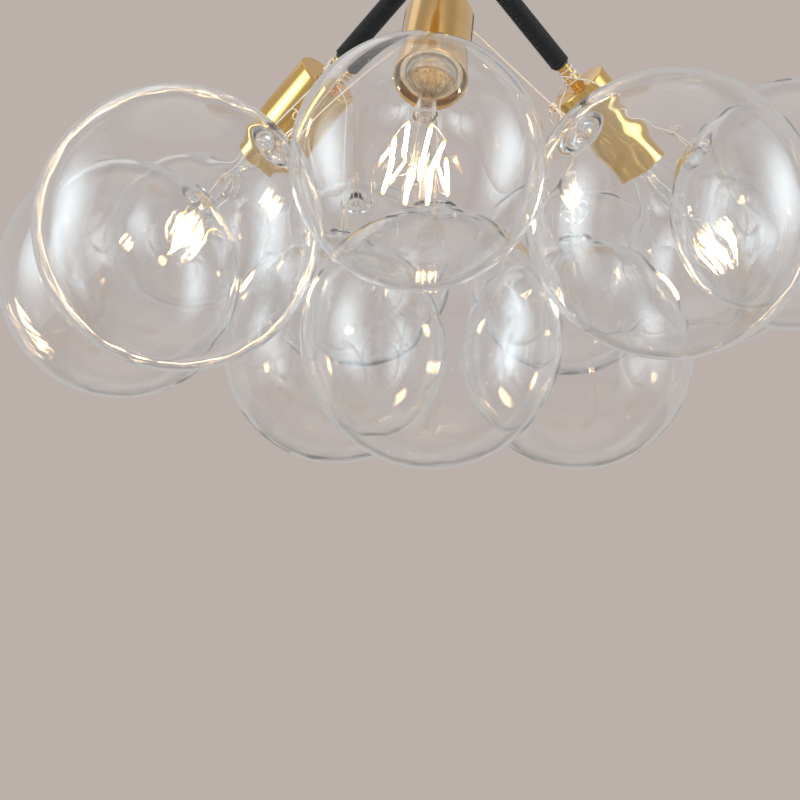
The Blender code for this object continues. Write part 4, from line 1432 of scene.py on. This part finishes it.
def floor_disc(own):
    """The floor: a pale disc that fades into the backdrop, and a paler sheet in mirrored views."""
    rings, steps = 12, 96
    rows = np.full((rings, 2), -own.floor_drop)
    rows[:, 0] = np.linspace(0, own.floor_radius, rings + 1)[1:]
    surface = grid(ringed(rows, steps))
    around = np.arange(steps)
    fan = np.stack([np.full(steps, rings * steps), around, (around + 1) % steps], axis=-1)
    surface["points"] = np.concatenate([surface["points"], [(0, 0, -own.floor_drop)]])
    surface["faces"].append(fan)
    surface["places"].append(np.zeros((steps, 3, 2)))
    floor = linked("studio_floor", mesh_of("studio_floor", surface))
    material, w = new_finish("studio_floor")
    place = w.split(w.place())
    x, y = place.out("X"), place.out("Y")
    reach = (x * x + y * y) ** 0.5
    fade = reach.smooth(0.5 * own.floor_radius, own.floor_radius) * 0.45 + 0.55
    grain = w.noise(w.place(), 60.0, detail=3.0)
    tone = w.mix(grain * 0.3, own.floor, [0.93 * channel for channel in own.floor])
    pale = w.node("ShaderNodeBsdfDiffuse", {"Color": tone})
    seen = w.either(fade, pale, w.emit(own.backdrop))
    sheet = x.band(-1.15, 1.15, 0.02) * y.band(-2.5, 1.6, 0.02)
    mirrored = w.emit(w.mix(sheet, (0.31, 0.29, 0.27), (0.43, 0.42, 0.41)))
    w.show(w.either(flat_share(w), mirrored, seen))
    material.cycles.emission_sampling = "NONE"
    floor.data.materials.append(material)


class CHANDELIER_PT_panel(bpy.types.Panel):
    """Lists the chandelier's operators and settings."""

    bl_idname = "CHANDELIER_PT_panel"
    bl_label = "Globe chandelier"
    bl_space_type = "VIEW_3D"
    bl_region_type = "UI"
    bl_category = "Chandelier"

    def draw(self, context):
        for operator in OPERATORS:
            self.layout.operator(operator.bl_idname)
        for group in GROUPS:
            own = getattr(context.scene, group)
            for name in own.__annotations__:
                self.layout.prop(own, name)


OPERATORS = (
    CHANDELIER_OT_stage,
    CHANDELIER_OT_canopy,
    CHANDELIER_OT_stem,
    CHANDELIER_OT_arms,
    CHANDELIER_OT_cups,
    CHANDELIER_OT_lamps,
    CHANDELIER_OT_bubbles,
    CHANDELIER_OT_lines,
)
GROUPS = {
    "chandelier_sizes": ChandelierSizes,
    "chandelier_finishes": ChandelierFinishes,
    "chandelier_studio": ChandelierStudio,
}


def register():
    """Register the settings, the operators and the panel."""
    for name, group in GROUPS.items():
        bpy.utils.register_class(group)
        setattr(bpy.types.Scene, name, PointerProperty(type=group))
    for operator in OPERATORS:
        bpy.utils.register_class(operator)
    bpy.utils.register_class(CHANDELIER_PT_panel)


def unregister():
    """Undo what register did, in the opposite order."""
    bpy.utils.unregister_class(CHANDELIER_PT_panel)
    for operator in reversed(OPERATORS):
        bpy.utils.unregister_class(operator)
    for name, group in reversed(GROUPS.items()):
        delattr(bpy.types.Scene, name)
        bpy.utils.unregister_class(group)


def main():
    """Build everything in order."""
    register()
    for operator in OPERATORS:
        group, name = operator.bl_idname.split(".")
        getattr(getattr(bpy.ops, group), name)()


if __name__ == "__main__":
    main()
